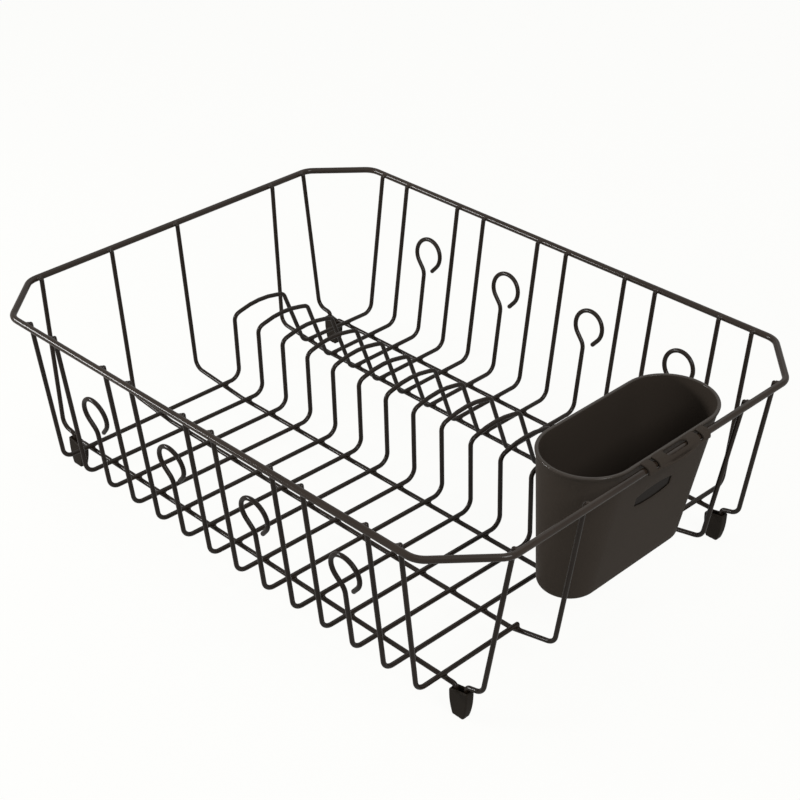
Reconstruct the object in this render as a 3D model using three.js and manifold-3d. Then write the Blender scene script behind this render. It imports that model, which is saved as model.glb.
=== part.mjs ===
// Dish drying rack: a welded basket of coated wire on four plastic feet, with a cutlery cup
// hooked over one end.
// Millimetres, +Z up. X runs along the rack with the cup at +X, and Y from the front (-Y) to the back.
// The origin is on the surface that the feet stand on, under the middle of the rim.
import * as THREE from "three";
import { mergeVertices } from "three/addons/utils/BufferGeometryUtils.js";
import Module from "manifold-3d";

// ---------- Driving dimensions ----------
const GAP = 0.3; // clearance between pieces that touch
const WIRE = 3.2; // coated basket wire
const RIM_WIRE = 4.5; // coated rim wire

// Rim: a rectangle of thick wire with its corners cut off
const RIM_HALF_LENGTH = 220; // to the wire's centre line, along X
const RIM_HALF_WIDTH = 166; // to the wire's centre line, along Y
const RIM_HEIGHT = 136.8; // centre line above the surface
const CORNER_CUT_X = 34.3;
const CORNER_CUT_Y = 37.9;
const RIM_BEND = 14;
const TIP_HEIGHT = 0.4; // wire ends stand this far above the rim's centre line

// Floor
const FLOOR_HEIGHT = 24.8; // centre line of the cross wires at the walls
const FLOOR_FALL = 4.2; // the front floor falls this much towards the plate divider
const END_WALL_FLARE = 17.7; // the foot of the end walls lies this far inside the rim
const LONG_WALL_FLARE = 18; // and the foot of the long walls this far
const FLOOR_SHIFT = -2.2; // along X, for the feet and the foot of each end wall
const FLOOR_BEND = 8;
const END_RISE = 3; // the long wires rise this much towards the end walls
const CORNER_RISE = 1.8; // and this much more by the foot of the end wall
const CUP_END_RISE = 1.4; // and this much more again by the wall that carries the cup
const CUP_RISE = 1.6; // where the inner ones, below the cup, rise by this too
const END_LIFT = 1.8; // and the inner ones lift the first and last cross wires by this under the humps

// Cross wires: an even row from end to end, all but the last with a hump that divides plates
const CROSS_COUNT = 14;
const CROSS_MARGIN = 15.4; // from the rim's corner to the first and last cross wires
const HUMP_FRONT = 10.9; // foot of the hump's front leg, along Y
const HUMP_LEAN = 1.9; // the front leg leans forward by this much
const HUMP_SHOULDER = 50.6; // height of the hump's shoulders over the floor at the walls
const HUMP_CROWN = 6.4; // the crown's tangents meet this far above the shoulders
const HUMP_BACK_TOP = 57.2;
const HUMP_BACK_FOOT = 76.2;
const HUMP_FOOT_BEND = 8;
const HUMP_SHOULDER_BEND = 5.5;
const HUMP_CROWN_BEND = 68;

// Cross wires that stop below the rim in an open loop at both walls
const LOOP_EVERY = 3; // cross wires 3, 6, 9 and 12
const LOOP_RADIUS = 11.8;
const LOOP_SHIFT = 2.5; // the loop's centre is to the +X side of its stem
const LOOP_HEIGHT_FRONT = 63; // loop centre over the floor
const LOOP_HEIGHT_BACK = 67.5;
const LOOP_STEM_TURN = 42; // degrees that the stem turns off before the loop
const LOOP_END_TURN = -40; // degrees, where the round part of the loop ends
const LOOP_END_RUN = 5.5; // straight run to the free end
const LOOP_STEM_BEND = 9;

// Long wires, front to back: where each crosses the rim and the floor, along Y
const OUTER_LONG_INSET = 23.8; // from the foot of the long wall
const OUTER_LONG_RIM_INSET = 45; // from the rim's long side
const SECOND_LONG_RIM = -61.5;
const SECOND_LONG_FLOOR = -61.3;
const HUMP_SUPPORT_FRONT = 13.4; // in front of the hump's front leg
const HUMP_SUPPORT_BACK = 8.2; // behind the hump's back leg
const HUMP_SUPPORT_BACK_LEAN = 5; // its ends lean back by this much at the rim
const CUT_WIRE_END = 0.7; // a cut wire runs this far past the wire that carries its end

// Feet: soft boots pushed over a dip in each end of the outer long wires
const FOOT_INSET = 16.5; // from the foot of the end wall
const DIP_HALF_SPAN = 4.05; // from the dip's middle to the centre line of each leg
const DIP_BOTTOM = 8.3; // centre line over the surface
const DIP_BEND = 3;
const FOOT_INNER_HEIGHT = 18.4; // the boot's mouth slopes up from here
const FOOT_OUTER_HEIGHT = 21.4; // to here, towards the end of the rack
const FOOT_WALL = 1.2; // at the mouth's ends
const FOOT_CHEEK = 1.5; // the walls in front of the dip and behind it
const FOOT_TAPER = 2.9; // the sole is narrower than the mouth by this at each end
const FOOT_CORNER = 1.8; // rounding of the sole's ends
const FOOT_EDGE = 0.9; // rounding of the boot's long edges

// Cutlery cup: a tapering cup with round ends that leans in below its hook
const CUP_TOP_RADIUS = 30.4; // outside, at the ends
const CUP_BOTTOM_RADIUS = 19.3;
const CUP_HALF_STRAIGHT = 38.3;
const CUP_MIDDLE = 14.8; // along Y
const CUP_DEPTH = 102;
const CUP_WALL = 1.8;
const CUP_FLOOR = 2.2;
const CUP_BOTTOM_ROUND = 5;
const CUP_LEAN = 8.7; // the bottom sits this far inboard of the top
const CUP_BEAD = 0.7; // the lip stands out by this much
const CUP_BEAD_HEIGHT = 2.2;
const CUP_STANDOFF = 1.2; // from the rim wire to the cup's wall
const DRAIN_COUNT = 5;
const DRAIN_LENGTH = 16; // across the cup
const DRAIN_WIDTH = 4;
const DRAIN_SPACING = 15;

// Its hook: a bridge over the rim wire with an outer skirt, two slits and a long hole
const HOOK_LENGTH = 58;
const HOOK_WALL = 1.8;
const HOOK_SKIRT = 1.5; // the skirt ends this far below the rim's centre line
const SLIT_WIDTH = 2.2;
const SLIT_INSET = 8.3; // from the hook's ends
const HOOK_HOLE_LENGTH = 20;
const HOOK_HOLE_WIDTH = 5.4;
const THUMB_TAB_LENGTH = 34;
const THUMB_TAB_REACH = 2.2;
const THUMB_TAB_THICKNESS = 1.4;

// A shallow bare recess for a badge on the cup's outer face, with bowed long edges
const BADGE_LENGTH = 34;
const BADGE_HEIGHT = 10.5; // in its middle
const BADGE_END_HEIGHT = 7;
const BADGE_DEPTH = 0.7;
const BADGE_DROP = 35.4; // from the hook's top to the recess's middle
const BADGE_OFFSET = -3.6; // from the cup's middle, along Y

// Faceting
const WIRE_SIDES = 8;
const RIM_SIDES = 10;
const BEND_STEP = THREE.MathUtils.degToRad(29);
const CUP_SEGMENTS = 36;

// ---------- Materials ----------
const coating = new THREE.MeshStandardMaterial({ color: 0x25211d, roughness: 0.35, metalness: 0 });
const rimCoating = new THREE.MeshStandardMaterial({ color: 0x2b2724, roughness: 0.32, metalness: 0 });
const footPlastic = new THREE.MeshStandardMaterial({ color: 0x24221f, roughness: 0.6, metalness: 0 });
const cupPlastic = new THREE.MeshStandardMaterial({ color: 0x3a3631, roughness: 0.5, metalness: 0 });

// ---------- Solids ----------
const wasm = await Module();
wasm.setup();

// A closed geometry as a solid that can be joined and cut.
function solidOf(geometry) {
  const bare = geometry.clone();
  bare.deleteAttribute("normal");
  bare.deleteAttribute("uv");
  const merged = mergeVertices(bare, 1e-4);
  const index = merged.index.array;
  const triVerts = [];
  for (let i = 0; i < index.length; i += 3) {
    const [a, b, c] = [index[i], index[i + 1], index[i + 2]];
    if (a !== b && b !== c && c !== a) triVerts.push(a, b, c);
  }
  const vertProperties = merged.attributes.position.array;
  return new wasm.Manifold(
    new wasm.Mesh({ numProp: 3, vertProperties, triVerts: new Uint32Array(triVerts) }),
  );
}

function geometryOf(solid) {
  const { vertProperties, triVerts } = solid.getMesh();
  const geometry = new THREE.BufferGeometry();
  geometry.setAttribute("position", new THREE.BufferAttribute(vertProperties, 3));
  geometry.setIndex(new THREE.BufferAttribute(triVerts, 1));
  geometry.computeVertexNormals();
  return geometry;
}

const rack = new THREE.Group();

function addPiece(name, geometry, material, parent = rack) {
  const mesh = new THREE.Mesh(geometry, material);
  mesh.name = name;
  parent.add(mesh);
  return mesh;
}

// ---------- Bent wire ----------
// A centre line given as corners, each with the radius of its bend: straight runs joined by arcs.
class WirePath extends THREE.Curve {
  constructor(corners, closed = false) {
    super();
    this.closed = closed;
    this.points = [];
    this.tangents = [];
    corners.forEach((corner, i) => this.addCorner(corners, corner, i));
    if (closed) this.addStation(this.points[0], this.tangents[0]);
  }

  addStation(point, tangent) {
    const last = this.points.at(-1);
    if (last && last.distanceTo(point) < 1e-4) return;
    this.points.push(point.clone());
    this.tangents.push(tangent.clone());
  }

  addCorner(corners, { at, bend }, i) {
    const before = this.closed ? corners.at(i - 1) : corners[i - 1];
    const after = this.closed ? corners[(i + 1) % corners.length] : corners[i + 1];
    if (!before || !after) {
      const tangent = before ? at.clone().sub(before.at) : after.at.clone().sub(at);
      this.addStation(at, tangent.normalize());
      return;
    }
    const arriving = at.clone().sub(before.at).normalize();
    const leaving = after.at.clone().sub(at).normalize();
    const turn = arriving.angleTo(leaving);
    const axis = arriving.clone().cross(leaving).normalize();
    const start = at.clone().addScaledVector(arriving, -bend * Math.tan(turn / 2));
    const inward = axis.clone().cross(arriving);
    const centre = start.clone().addScaledVector(inward, bend);
    const steps = Math.max(1, Math.ceil(turn / BEND_STEP));
    for (let k = 0; k <= steps; k++) {
      const angle = (turn * k) / steps;
      const point = start.clone().sub(centre).applyAxisAngle(axis, angle).add(centre);
      this.addStation(point, arriving.clone().applyAxisAngle(axis, angle));
    }
  }

  get steps() {
    return this.points.length - 1;
  }

  getPoint(t, target = new THREE.Vector3()) {
    const place = t * this.steps;
    const i = Math.min(Math.floor(place), this.steps - 1);
    return target.lerpVectors(this.points[i], this.points[i + 1], place - i);
  }

  getSpacedPoints() {
    return this.points;
  }

  // Each frame is the last one carried along without twist.
  computeFrenetFrames() {
    const upright = Math.abs(this.tangents[0].z) > 0.9;
    const across = upright ? new THREE.Vector3(1, 0, 0) : new THREE.Vector3(0, 0, 1);
    const normals = [];
    const binormals = [];
    for (const tangent of this.tangents) {
      const normal = (normals.at(-1) ?? across).clone();
      normal.addScaledVector(tangent, -normal.dot(tangent)).normalize();
      normals.push(normal);
      binormals.push(tangent.clone().cross(normal));
    }
    return { tangents: this.tangents, normals, binormals };
  }
}

function wireGeometry(path, diameter, sides = WIRE_SIDES) {
  const section = new THREE.Shape().absarc(0, 0, diameter / 2, 0, 2 * Math.PI);
  const options = { curveSegments: sides / 2, steps: path.steps, extrudePath: path };
  const geometry = new THREE.ExtrudeGeometry(section, options);
  if (path.closed) {
    const { start, count } = geometry.groups[1]; // a closed wire has walls and no end faces
    const walls = geometry.attributes.position.array.slice(3 * start, 3 * (start + count));
    geometry.setAttribute("position", new THREE.BufferAttribute(walls, 3));
  }
  return geometryOf(solidOf(geometry));
}

const corner = (x, y, z, bend = 0) => ({ at: new THREE.Vector3(x, y, z), bend });

// ---------- Rim ----------
function rimCorners() {
  const nearX = RIM_HALF_LENGTH - CORNER_CUT_X;
  const nearY = RIM_HALF_WIDTH - CORNER_CUT_Y;
  const quarter = [
    [RIM_HALF_LENGTH, nearY],
    [nearX, RIM_HALF_WIDTH],
  ];
  const half = [...quarter, ...quarter.toReversed().map(([x, y]) => [-x, y])];
  const whole = [...half, ...half.map(([x, y]) => [-x, -y])];
  return whole.map(([x, y]) => corner(x, y, RIM_HEIGHT, RIM_BEND));
}
addPiece("rim_wire", wireGeometry(new WirePath(rimCorners(), true), RIM_WIRE, RIM_SIDES), rimCoating);

// Wires that reach the rim stand against its inner side.
const RIM_OFFSET = RIM_WIRE / 2 + WIRE / 2 + GAP;

// A point of a wall wire: out is its distance from the rack's middle, for a wall that rises from
// its foot (footOut, footHeight) to the inner side of the rim at rimOut.
function outAtHeight(footOut, footHeight, rimOut, height) {
  const slope = (rimOut - RIM_OFFSET - footOut) / (RIM_HEIGHT - footHeight);
  return footOut + slope * (height - footHeight);
}

// ---------- Cross wires ----------
const FLOOR_HALF_WIDTH = RIM_HALF_WIDTH - LONG_WALL_FLARE;
const LAST_CROSS_X = RIM_HALF_LENGTH - CORNER_CUT_X - CROSS_MARGIN;
const CROSS_PITCH = (2 * LAST_CROSS_X) / (CROSS_COUNT - 1);
const crossX = (number) => (number - 1) * CROSS_PITCH - LAST_CROSS_X;

// Centre line height of the cross wires' floor at y.
function floorHeight(y) {
  if (y > HUMP_FRONT) return FLOOR_HEIGHT;
  const share = (y + FLOOR_HALF_WIDTH) / (HUMP_FRONT + FLOOR_HALF_WIDTH);
  return FLOOR_HEIGHT - FLOOR_FALL * share;
}

// How far the first and last cross wires are lifted off the others' floor at y.
function endLift(y) {
  const span = FLOOR_HALF_WIDTH + (y < 0 ? HUMP_FRONT : -HUMP_BACK_FOOT);
  return END_LIFT * Math.min(1, (FLOOR_HALF_WIDTH - Math.abs(y)) / span);
}

const wallY = (height) => outAtHeight(FLOOR_HALF_WIDTH, FLOOR_HEIGHT, RIM_HALF_WIDTH, height);

// side is -1 at the front wall and +1 at the back wall.
function wallFoot(x, side) {
  return corner(x, side * FLOOR_HALF_WIDTH, FLOOR_HEIGHT, FLOOR_BEND);
}

function wallTip(x, side) {
  const height = RIM_HEIGHT + TIP_HEIGHT;
  return corner(x, side * wallY(height), height);
}

// The open loop at the top of a stem, from the stem's bend to the free end, in the plane of the wall.
function loopCorners(x, side) {
  const height = side < 0 ? LOOP_HEIGHT_FRONT : LOOP_HEIGHT_BACK;
  const centreHeight = FLOOR_HEIGHT + height;
  const foot = new THREE.Vector3(x, side * FLOOR_HALF_WIDTH, FLOOR_HEIGHT);
  const up = new THREE.Vector3(x, side * wallY(centreHeight), centreHeight).sub(foot);
  const centreRise = up.length();
  up.normalize();
  const inWall = (across, rise, bend) => ({
    at: foot.clone().addScaledVector(up, rise).add(new THREE.Vector3(across, 0, 0)),
    bend,
  });
  const stemTurn = THREE.MathUtils.degToRad(LOOP_STEM_TURN);
  const startAngle = Math.PI + stemTurn;
  const endAngle = THREE.MathUtils.degToRad(LOOP_END_TURN);
  const touchAcross = LOOP_SHIFT + LOOP_RADIUS * Math.cos(startAngle);
  const touchRise = centreRise + LOOP_RADIUS * Math.sin(startAngle);
  const stemBend = inWall(0, touchRise + touchAcross / Math.tan(stemTurn), LOOP_STEM_BEND);
  const arcs = 4;
  const half = (startAngle - endAngle) / arcs / 2;
  const reach = LOOP_RADIUS / Math.cos(half);
  const round = Array.from({ length: arcs }, (_, k) => {
    const angle = startAngle - half * (2 * k + 1);
    return inWall(LOOP_SHIFT + reach * Math.cos(angle), centreRise + reach * Math.sin(angle), LOOP_RADIUS);
  });
  const endAcross = LOOP_SHIFT + LOOP_RADIUS * Math.cos(endAngle) + LOOP_END_RUN * Math.sin(endAngle);
  const endRise = centreRise + LOOP_RADIUS * Math.sin(endAngle) - LOOP_END_RUN * Math.cos(endAngle);
  return [stemBend, ...round, inWall(endAcross, endRise)];
}

function humpCorners(x, lift) {
  const shoulder = FLOOR_HEIGHT + HUMP_SHOULDER;
  const frontTop = HUMP_FRONT - HUMP_LEAN;
  return [
    corner(x, HUMP_FRONT, floorHeight(HUMP_FRONT) + lift, HUMP_FOOT_BEND),
    corner(x, frontTop, shoulder, HUMP_SHOULDER_BEND),
    corner(x, (frontTop + HUMP_BACK_TOP) / 2, shoulder + HUMP_CROWN, HUMP_CROWN_BEND),
    corner(x, HUMP_BACK_TOP, shoulder, HUMP_SHOULDER_BEND),
    corner(x, HUMP_BACK_FOOT, FLOOR_HEIGHT + lift, HUMP_FOOT_BEND),
  ];
}

// Wires 1 to 13 run whole from the front wall to the back wall.
for (let number = 1; number < CROSS_COUNT; number++) {
  const x = crossX(number);
  const looped = number % LOOP_EVERY === 0;
  const front = looped ? loopCorners(x, -1).toReversed() : [wallTip(x, -1)];
  const back = looped ? loopCorners(x, 1) : [wallTip(x, 1)];
  const hump = humpCorners(x, number === 1 ? END_LIFT : 0);
  const corners = [...front, wallFoot(x, -1), ...hump, wallFoot(x, 1), ...back];
  const name = `cross_wire_${String(number).padStart(2, "0")}`;
  addPiece(name, wireGeometry(new WirePath(corners), WIRE), coating);
}

// ---------- Long wires ----------
const LONG_DROP = WIRE + GAP; // they run under the cross wires
const FLOOR_HALF_LENGTH = RIM_HALF_LENGTH - END_WALL_FLARE;
const OUTER_LONG_RIM = RIM_HALF_WIDTH - OUTER_LONG_RIM_INSET;
const OUTER_LONG_FLOOR = FLOOR_HALF_WIDTH - OUTER_LONG_INSET;
const HUMP_FRONT_SUPPORT_Y = HUMP_FRONT - HUMP_SUPPORT_FRONT;
const HUMP_BACK_SUPPORT_Y = HUMP_BACK_FOOT + HUMP_SUPPORT_BACK;
const footX = (end) => end * (FLOOR_HALF_LENGTH - FOOT_INSET) + FLOOR_SHIFT;

// One end of a long wire, from the floor out to the tip at the rim; end is -1 or +1 along X.
function longWireEnd(end, rimY, floorY, footed) {
  const floor = floorHeight(floorY) - LONG_DROP;
  const cupRise = footed ? CUP_END_RISE : CUP_END_RISE + CUP_RISE;
  const rise = END_RISE + CORNER_RISE + (end > 0 ? cupRise : 0);
  const tip = RIM_HEIGHT + TIP_HEIGHT;
  const wallFootX = FLOOR_HALF_LENGTH + end * FLOOR_SHIFT;
  const tipX = outAtHeight(wallFootX, floor + rise, RIM_HALF_LENGTH, tip);
  const innerLeg = footX(end) - end * DIP_HALF_SPAN;
  const outerLeg = footX(end) + end * DIP_HALF_SPAN;
  const dip = [
    corner(innerLeg, floorY, floor, DIP_BEND),
    corner(innerLeg, floorY, DIP_BOTTOM, DIP_BEND),
    corner(outerLeg, floorY, DIP_BOTTOM, DIP_BEND),
    corner(outerLeg, floorY, floor + END_RISE, DIP_BEND),
  ];
  // A plain end rises in one straight run, which passes under the last cross wire.
  const lift = endLift(floorY);
  const riseStart = LAST_CROSS_X - ((wallFootX - LAST_CROSS_X) * lift) / (rise - lift);
  const plain = [corner(end * riseStart, floorY, floor, FLOOR_BEND)];
  return [
    ...(footed ? dip : plain),
    corner(end * wallFootX, floorY, floor + rise, FLOOR_BEND),
    corner(end * tipX, rimY, tip),
  ];
}

function addLongWire(name, rimY, floorY, footed = false) {
  const left = longWireEnd(-1, rimY, floorY, footed).toReversed();
  const right = longWireEnd(1, rimY, floorY, footed);
  return addPiece(name, wireGeometry(new WirePath([...left, ...right]), WIRE), coating);
}

addLongWire("long_wire_1", -OUTER_LONG_RIM, -OUTER_LONG_FLOOR, true);
addLongWire("long_wire_2", SECOND_LONG_RIM, SECOND_LONG_FLOOR);
addLongWire("long_wire_4", HUMP_BACK_SUPPORT_Y + HUMP_SUPPORT_BACK_LEAN, HUMP_BACK_SUPPORT_Y);
addLongWire("long_wire_5", OUTER_LONG_RIM, OUTER_LONG_FLOOR, true);

// The middle long wire stops under cross wire 13, short of the cup.
{
  const end = corner(crossX(CROSS_COUNT - 1) + CUT_WIRE_END, HUMP_FRONT_SUPPORT_Y, 0);
  end.at.z = floorHeight(HUMP_FRONT_SUPPORT_Y) - LONG_DROP;
  const left = longWireEnd(-1, HUMP_FRONT_SUPPORT_Y, HUMP_FRONT_SUPPORT_Y, false).toReversed();
  addPiece("long_wire_3", wireGeometry(new WirePath([...left, end]), WIRE), coating);
}

// Wire 14 is cut out between the second and fourth long wires, below the cup.
for (const [name, side, carrier] of [
  ["cross_wire_14_front", -1, SECOND_LONG_FLOOR],
  ["cross_wire_14_back", 1, HUMP_BACK_SUPPORT_Y],
]) {
  const x = crossX(CROSS_COUNT);
  const endY = carrier - side * CUT_WIRE_END;
  const end = corner(x, endY, floorHeight(endY) + endLift(endY));
  addPiece(name, wireGeometry(new WirePath([wallTip(x, side), wallFoot(x, side), end]), WIRE), coating);
}

// ---------- Feet ----------
const POCKET_HALF_WIDTH = DIP_HALF_SPAN + WIRE / 2 + GAP;
const FOOT_THICKNESS = WIRE + 2 * (GAP + FOOT_CHEEK);

// The boot's outline from the front: a sloping mouth, sides that curve in, and a narrow sole.
function footOutline() {
  const mouth = POCKET_HALF_WIDTH + FOOT_WALL - FOOT_EDGE;
  const sole = mouth - FOOT_TAPER;
  const low = FOOT_EDGE;
  const cheek = (FOOT_INNER_HEIGHT + low) / 2.6; // height that the sides curve in around
  const shape = new THREE.Shape();
  shape.moveTo(-mouth, FOOT_INNER_HEIGHT - FOOT_EDGE);
  shape.quadraticCurveTo(-mouth, cheek, -sole, low + FOOT_CORNER);
  shape.quadraticCurveTo(-sole, low, -sole + FOOT_CORNER, low);
  shape.lineTo(sole - FOOT_CORNER, low);
  shape.quadraticCurveTo(sole, low, sole, low + FOOT_CORNER);
  shape.quadraticCurveTo(mouth, cheek, mouth, FOOT_OUTER_HEIGHT - FOOT_EDGE);
  return shape;
}

// The pocket follows the dip of the wire with a clearance all round, and is open at the mouth.
function pocketOutline() {
  const round = DIP_BEND + WIRE / 2 + GAP;
  const centre = DIP_HALF_SPAN - DIP_BEND;
  const height = DIP_BOTTOM + DIP_BEND;
  const shape = new THREE.Shape();
  shape.moveTo(-POCKET_HALF_WIDTH, 2 * FOOT_OUTER_HEIGHT);
  shape.lineTo(-POCKET_HALF_WIDTH, height);
  shape.absarc(-centre, height, round, Math.PI, 1.5 * Math.PI);
  shape.absarc(centre, height, round, 1.5 * Math.PI, 2 * Math.PI);
  shape.lineTo(POCKET_HALF_WIDTH, 2 * FOOT_OUTER_HEIGHT);
  return shape;
}

function extrudedAlongY(shape, thickness, bevel, curveSegments) {
  const geometry = new THREE.ExtrudeGeometry(shape, {
    depth: thickness - 2 * bevel,
    bevelEnabled: bevel > 0,
    bevelThickness: bevel,
    bevelSize: bevel,
    bevelSegments: 2,
    curveSegments,
  });
  geometry.translate(0, 0, bevel - thickness / 2);
  geometry.rotateX(Math.PI / 2);
  return geometry;
}

function footGeometry() {
  const boot = extrudedAlongY(footOutline(), FOOT_THICKNESS, FOOT_EDGE, 4);
  const pocket = extrudedAlongY(pocketOutline(), WIRE + 2 * GAP, 0, 3);
  return geometryOf(solidOf(boot).subtract(solidOf(pocket)));
}

const foot = footGeometry();
for (const [name, end, side] of [
  ["foot_front_left", -1, -1],
  ["foot_front_right", 1, -1],
  ["foot_rear_left", -1, 1],
  ["foot_rear_right", 1, 1],
]) {
  const mesh = addPiece(name, foot, footPlastic);
  mesh.position.set(footX(end), side * OUTER_LONG_FLOOR, 0);
  mesh.rotation.z = end < 0 ? Math.PI : 0;
}

// ---------- Cutlery cup ----------
const HOOK_TOP = RIM_HEIGHT + RIM_WIRE / 2 + GAP + HOOK_WALL;
const CUP_BOTTOM = HOOK_TOP - CUP_DEPTH;
const CUP_X = RIM_HALF_LENGTH - RIM_WIRE / 2 - CUP_STANDOFF - CUP_TOP_RADIUS;

// The cup's outside radius at a height over its bottom.
const cupRadius = (height) =>
  THREE.MathUtils.lerp(CUP_BOTTOM_RADIUS, CUP_TOP_RADIUS, height / CUP_DEPTH);

// Half of the cup's section, from the middle of its underside round the lip to the middle of its floor.
function cupProfile() {
  const inner = (height) => cupRadius(height) - CUP_WALL;
  const innerRound = CUP_BOTTOM_ROUND - CUP_WALL;
  const path = new THREE.Path();
  path.moveTo(0, 0);
  path.lineTo(CUP_BOTTOM_RADIUS - CUP_BOTTOM_ROUND, 0);
  path.quadraticCurveTo(CUP_BOTTOM_RADIUS, 0, cupRadius(CUP_BOTTOM_ROUND), CUP_BOTTOM_ROUND);
  path.lineTo(cupRadius(CUP_DEPTH - CUP_BEAD_HEIGHT), CUP_DEPTH - CUP_BEAD_HEIGHT);
  path.lineTo(CUP_TOP_RADIUS + CUP_BEAD, CUP_DEPTH - CUP_BEAD_HEIGHT + CUP_BEAD);
  path.lineTo(CUP_TOP_RADIUS + CUP_BEAD, CUP_DEPTH - CUP_BEAD);
  path.lineTo(CUP_TOP_RADIUS, CUP_DEPTH);
  path.lineTo(CUP_TOP_RADIUS - CUP_WALL + CUP_BEAD, CUP_DEPTH);
  path.lineTo(inner(CUP_DEPTH - CUP_BEAD), CUP_DEPTH - CUP_BEAD);
  path.lineTo(inner(CUP_FLOOR + innerRound), CUP_FLOOR + innerRound);
  path.quadraticCurveTo(inner(CUP_FLOOR), CUP_FLOOR, inner(CUP_FLOOR) - innerRound, CUP_FLOOR);
  path.lineTo(0, CUP_FLOOR);
  return path.getPoints(3);
}

// A turned cup, parted through its middle and drawn out along Y, then leant over.
function cupBody() {
  const profile = cupProfile();
  const start = Math.PI / CUP_SEGMENTS;
  const geometry = new THREE.LatheGeometry(profile, CUP_SEGMENTS, start, 2 * Math.PI);
  geometry.rotateX(Math.PI / 2);
  const position = geometry.attributes.position;
  for (let i = 0; i < position.count; i++) {
    const turn = start + (Math.floor(i / profile.length) * 2 * Math.PI) / CUP_SEGMENTS;
    const side = -Math.sign(Math.cos(turn));
    const height = position.getZ(i);
    position.setY(i, position.getY(i) + side * CUP_HALF_STRAIGHT);
    position.setX(i, position.getX(i) - CUP_LEAN * (1 - height / CUP_DEPTH));
  }
  const body = solidOf(geometry);
  return body.translate([CUP_X, CUP_MIDDLE, CUP_BOTTOM]);
}

// The hook's section, x outward from the rim's centre line and y up from it: flat from the cup's lip,
// then round over the wire and down into a short skirt.
function hookSection() {
  const inner = RIM_WIRE / 2 + GAP;
  const outer = inner + HOOK_WALL;
  const root = -(RIM_WIRE / 2 + CUP_STANDOFF + CUP_WALL / 2);
  const shape = new THREE.Shape();
  shape.moveTo(root, outer);
  shape.lineTo(0, outer);
  shape.absarc(0, 0, outer, Math.PI / 2, 0, true);
  shape.lineTo(outer, -HOOK_SKIRT);
  shape.lineTo(inner, -HOOK_SKIRT);
  shape.lineTo(inner, 0);
  shape.absarc(0, 0, inner, 0, Math.PI / 2, false);
  shape.lineTo(root, inner);
  return shape;
}

function rimBox(x, y, z, width, length, height) {
  const box = new THREE.BoxGeometry(width, length, height);
  box.translate(RIM_HALF_LENGTH + x, CUP_MIDDLE + y, RIM_HEIGHT + z);
  return solidOf(box);
}

const prism = (shape, depth, curveSegments) =>
  new THREE.ExtrudeGeometry(shape, { depth, bevelEnabled: false, curveSegments });

// A stadium in plan, from one height to another.
function stadium(length, width, low, high) {
  const straight = length - width;
  const shape = new THREE.Shape();
  shape.absarc(0, straight / 2, width / 2, 0, Math.PI);
  shape.absarc(0, -straight / 2, width / 2, Math.PI, 2 * Math.PI);
  const geometry = prism(shape, high - low, 6);
  geometry.translate(0, 0, low);
  return solidOf(geometry);
}

// The thumb tab bows out from the skirt's lower edge.
function thumbTab() {
  const half = THUMB_TAB_LENGTH / 2;
  const bow = (half * half + THUMB_TAB_REACH * THUMB_TAB_REACH) / (2 * THUMB_TAB_REACH);
  const spread = Math.asin(half / bow);
  const shape = new THREE.Shape();
  shape.absarc(THUMB_TAB_REACH - bow, 0, bow, -spread, spread);
  shape.lineTo(-HOOK_WALL / 2, half);
  shape.lineTo(-HOOK_WALL / 2, -half);
  const geometry = prism(shape, THUMB_TAB_THICKNESS, 6);
  const skirtFace = RIM_HALF_LENGTH + RIM_WIRE / 2 + GAP + HOOK_WALL;
  geometry.translate(skirtFace, CUP_MIDDLE, RIM_HEIGHT - HOOK_SKIRT);
  return solidOf(geometry);
}

function hookBody() {
  const bridge = extrudedAlongY(hookSection(), HOOK_LENGTH, 0, 2);
  bridge.translate(RIM_HALF_LENGTH, CUP_MIDDLE, RIM_HEIGHT);
  let hook = solidOf(bridge).add(thumbTab());
  // Two slits across the bridge free its middle, which springs over the wire.
  const over = RIM_WIRE / 2 + GAP + HOOK_WALL;
  for (const end of [-1, 1]) {
    const y = end * (HOOK_LENGTH / 2 - SLIT_INSET);
    hook = hook.subtract(rimBox(HOOK_WALL / 2, y, over, 2 * over, SLIT_WIDTH, 2 * over));
  }
  const hole = stadium(HOOK_HOLE_LENGTH, HOOK_HOLE_WIDTH, 0, 2 * over);
  return hook.subtract(hole.translate([RIM_HALF_LENGTH, CUP_MIDDLE, RIM_HEIGHT]));
}

// The badge recess lies in the cup's outer face, which leans out with height.
function badgeRecess() {
  const half = BADGE_LENGTH / 2;
  const sagitta = (BADGE_HEIGHT - BADGE_END_HEIGHT) / 2;
  const bow = (half * half + sagitta * sagitta) / (2 * sagitta);
  const spread = Math.asin(half / bow);
  const middle = BADGE_HEIGHT / 2 - bow;
  const shape = new THREE.Shape();
  shape.absarc(0, middle, bow, Math.PI / 2 - spread, Math.PI / 2 + spread);
  shape.absarc(0, -middle, bow, 1.5 * Math.PI - spread, 1.5 * Math.PI + spread);
  const geometry = prism(shape, 2 * BADGE_DEPTH, 4);
  geometry.translate(0, 0, -BADGE_DEPTH);
  const slope = (CUP_TOP_RADIUS - CUP_BOTTOM_RADIUS + CUP_LEAN) / CUP_DEPTH;
  const lean = Math.atan(slope);
  const along = new THREE.Vector3(0, 1, 0);
  const up = new THREE.Vector3(Math.sin(lean), 0, Math.cos(lean));
  const out = new THREE.Vector3(Math.cos(lean), 0, -Math.sin(lean));
  const faceX = CUP_X + CUP_TOP_RADIUS - slope * BADGE_DROP;
  const place = new THREE.Matrix4().makeBasis(along, up, out);
  place.setPosition(faceX, CUP_MIDDLE + BADGE_OFFSET, HOOK_TOP - BADGE_DROP);
  return solidOf(geometry.applyMatrix4(place));
}

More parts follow.
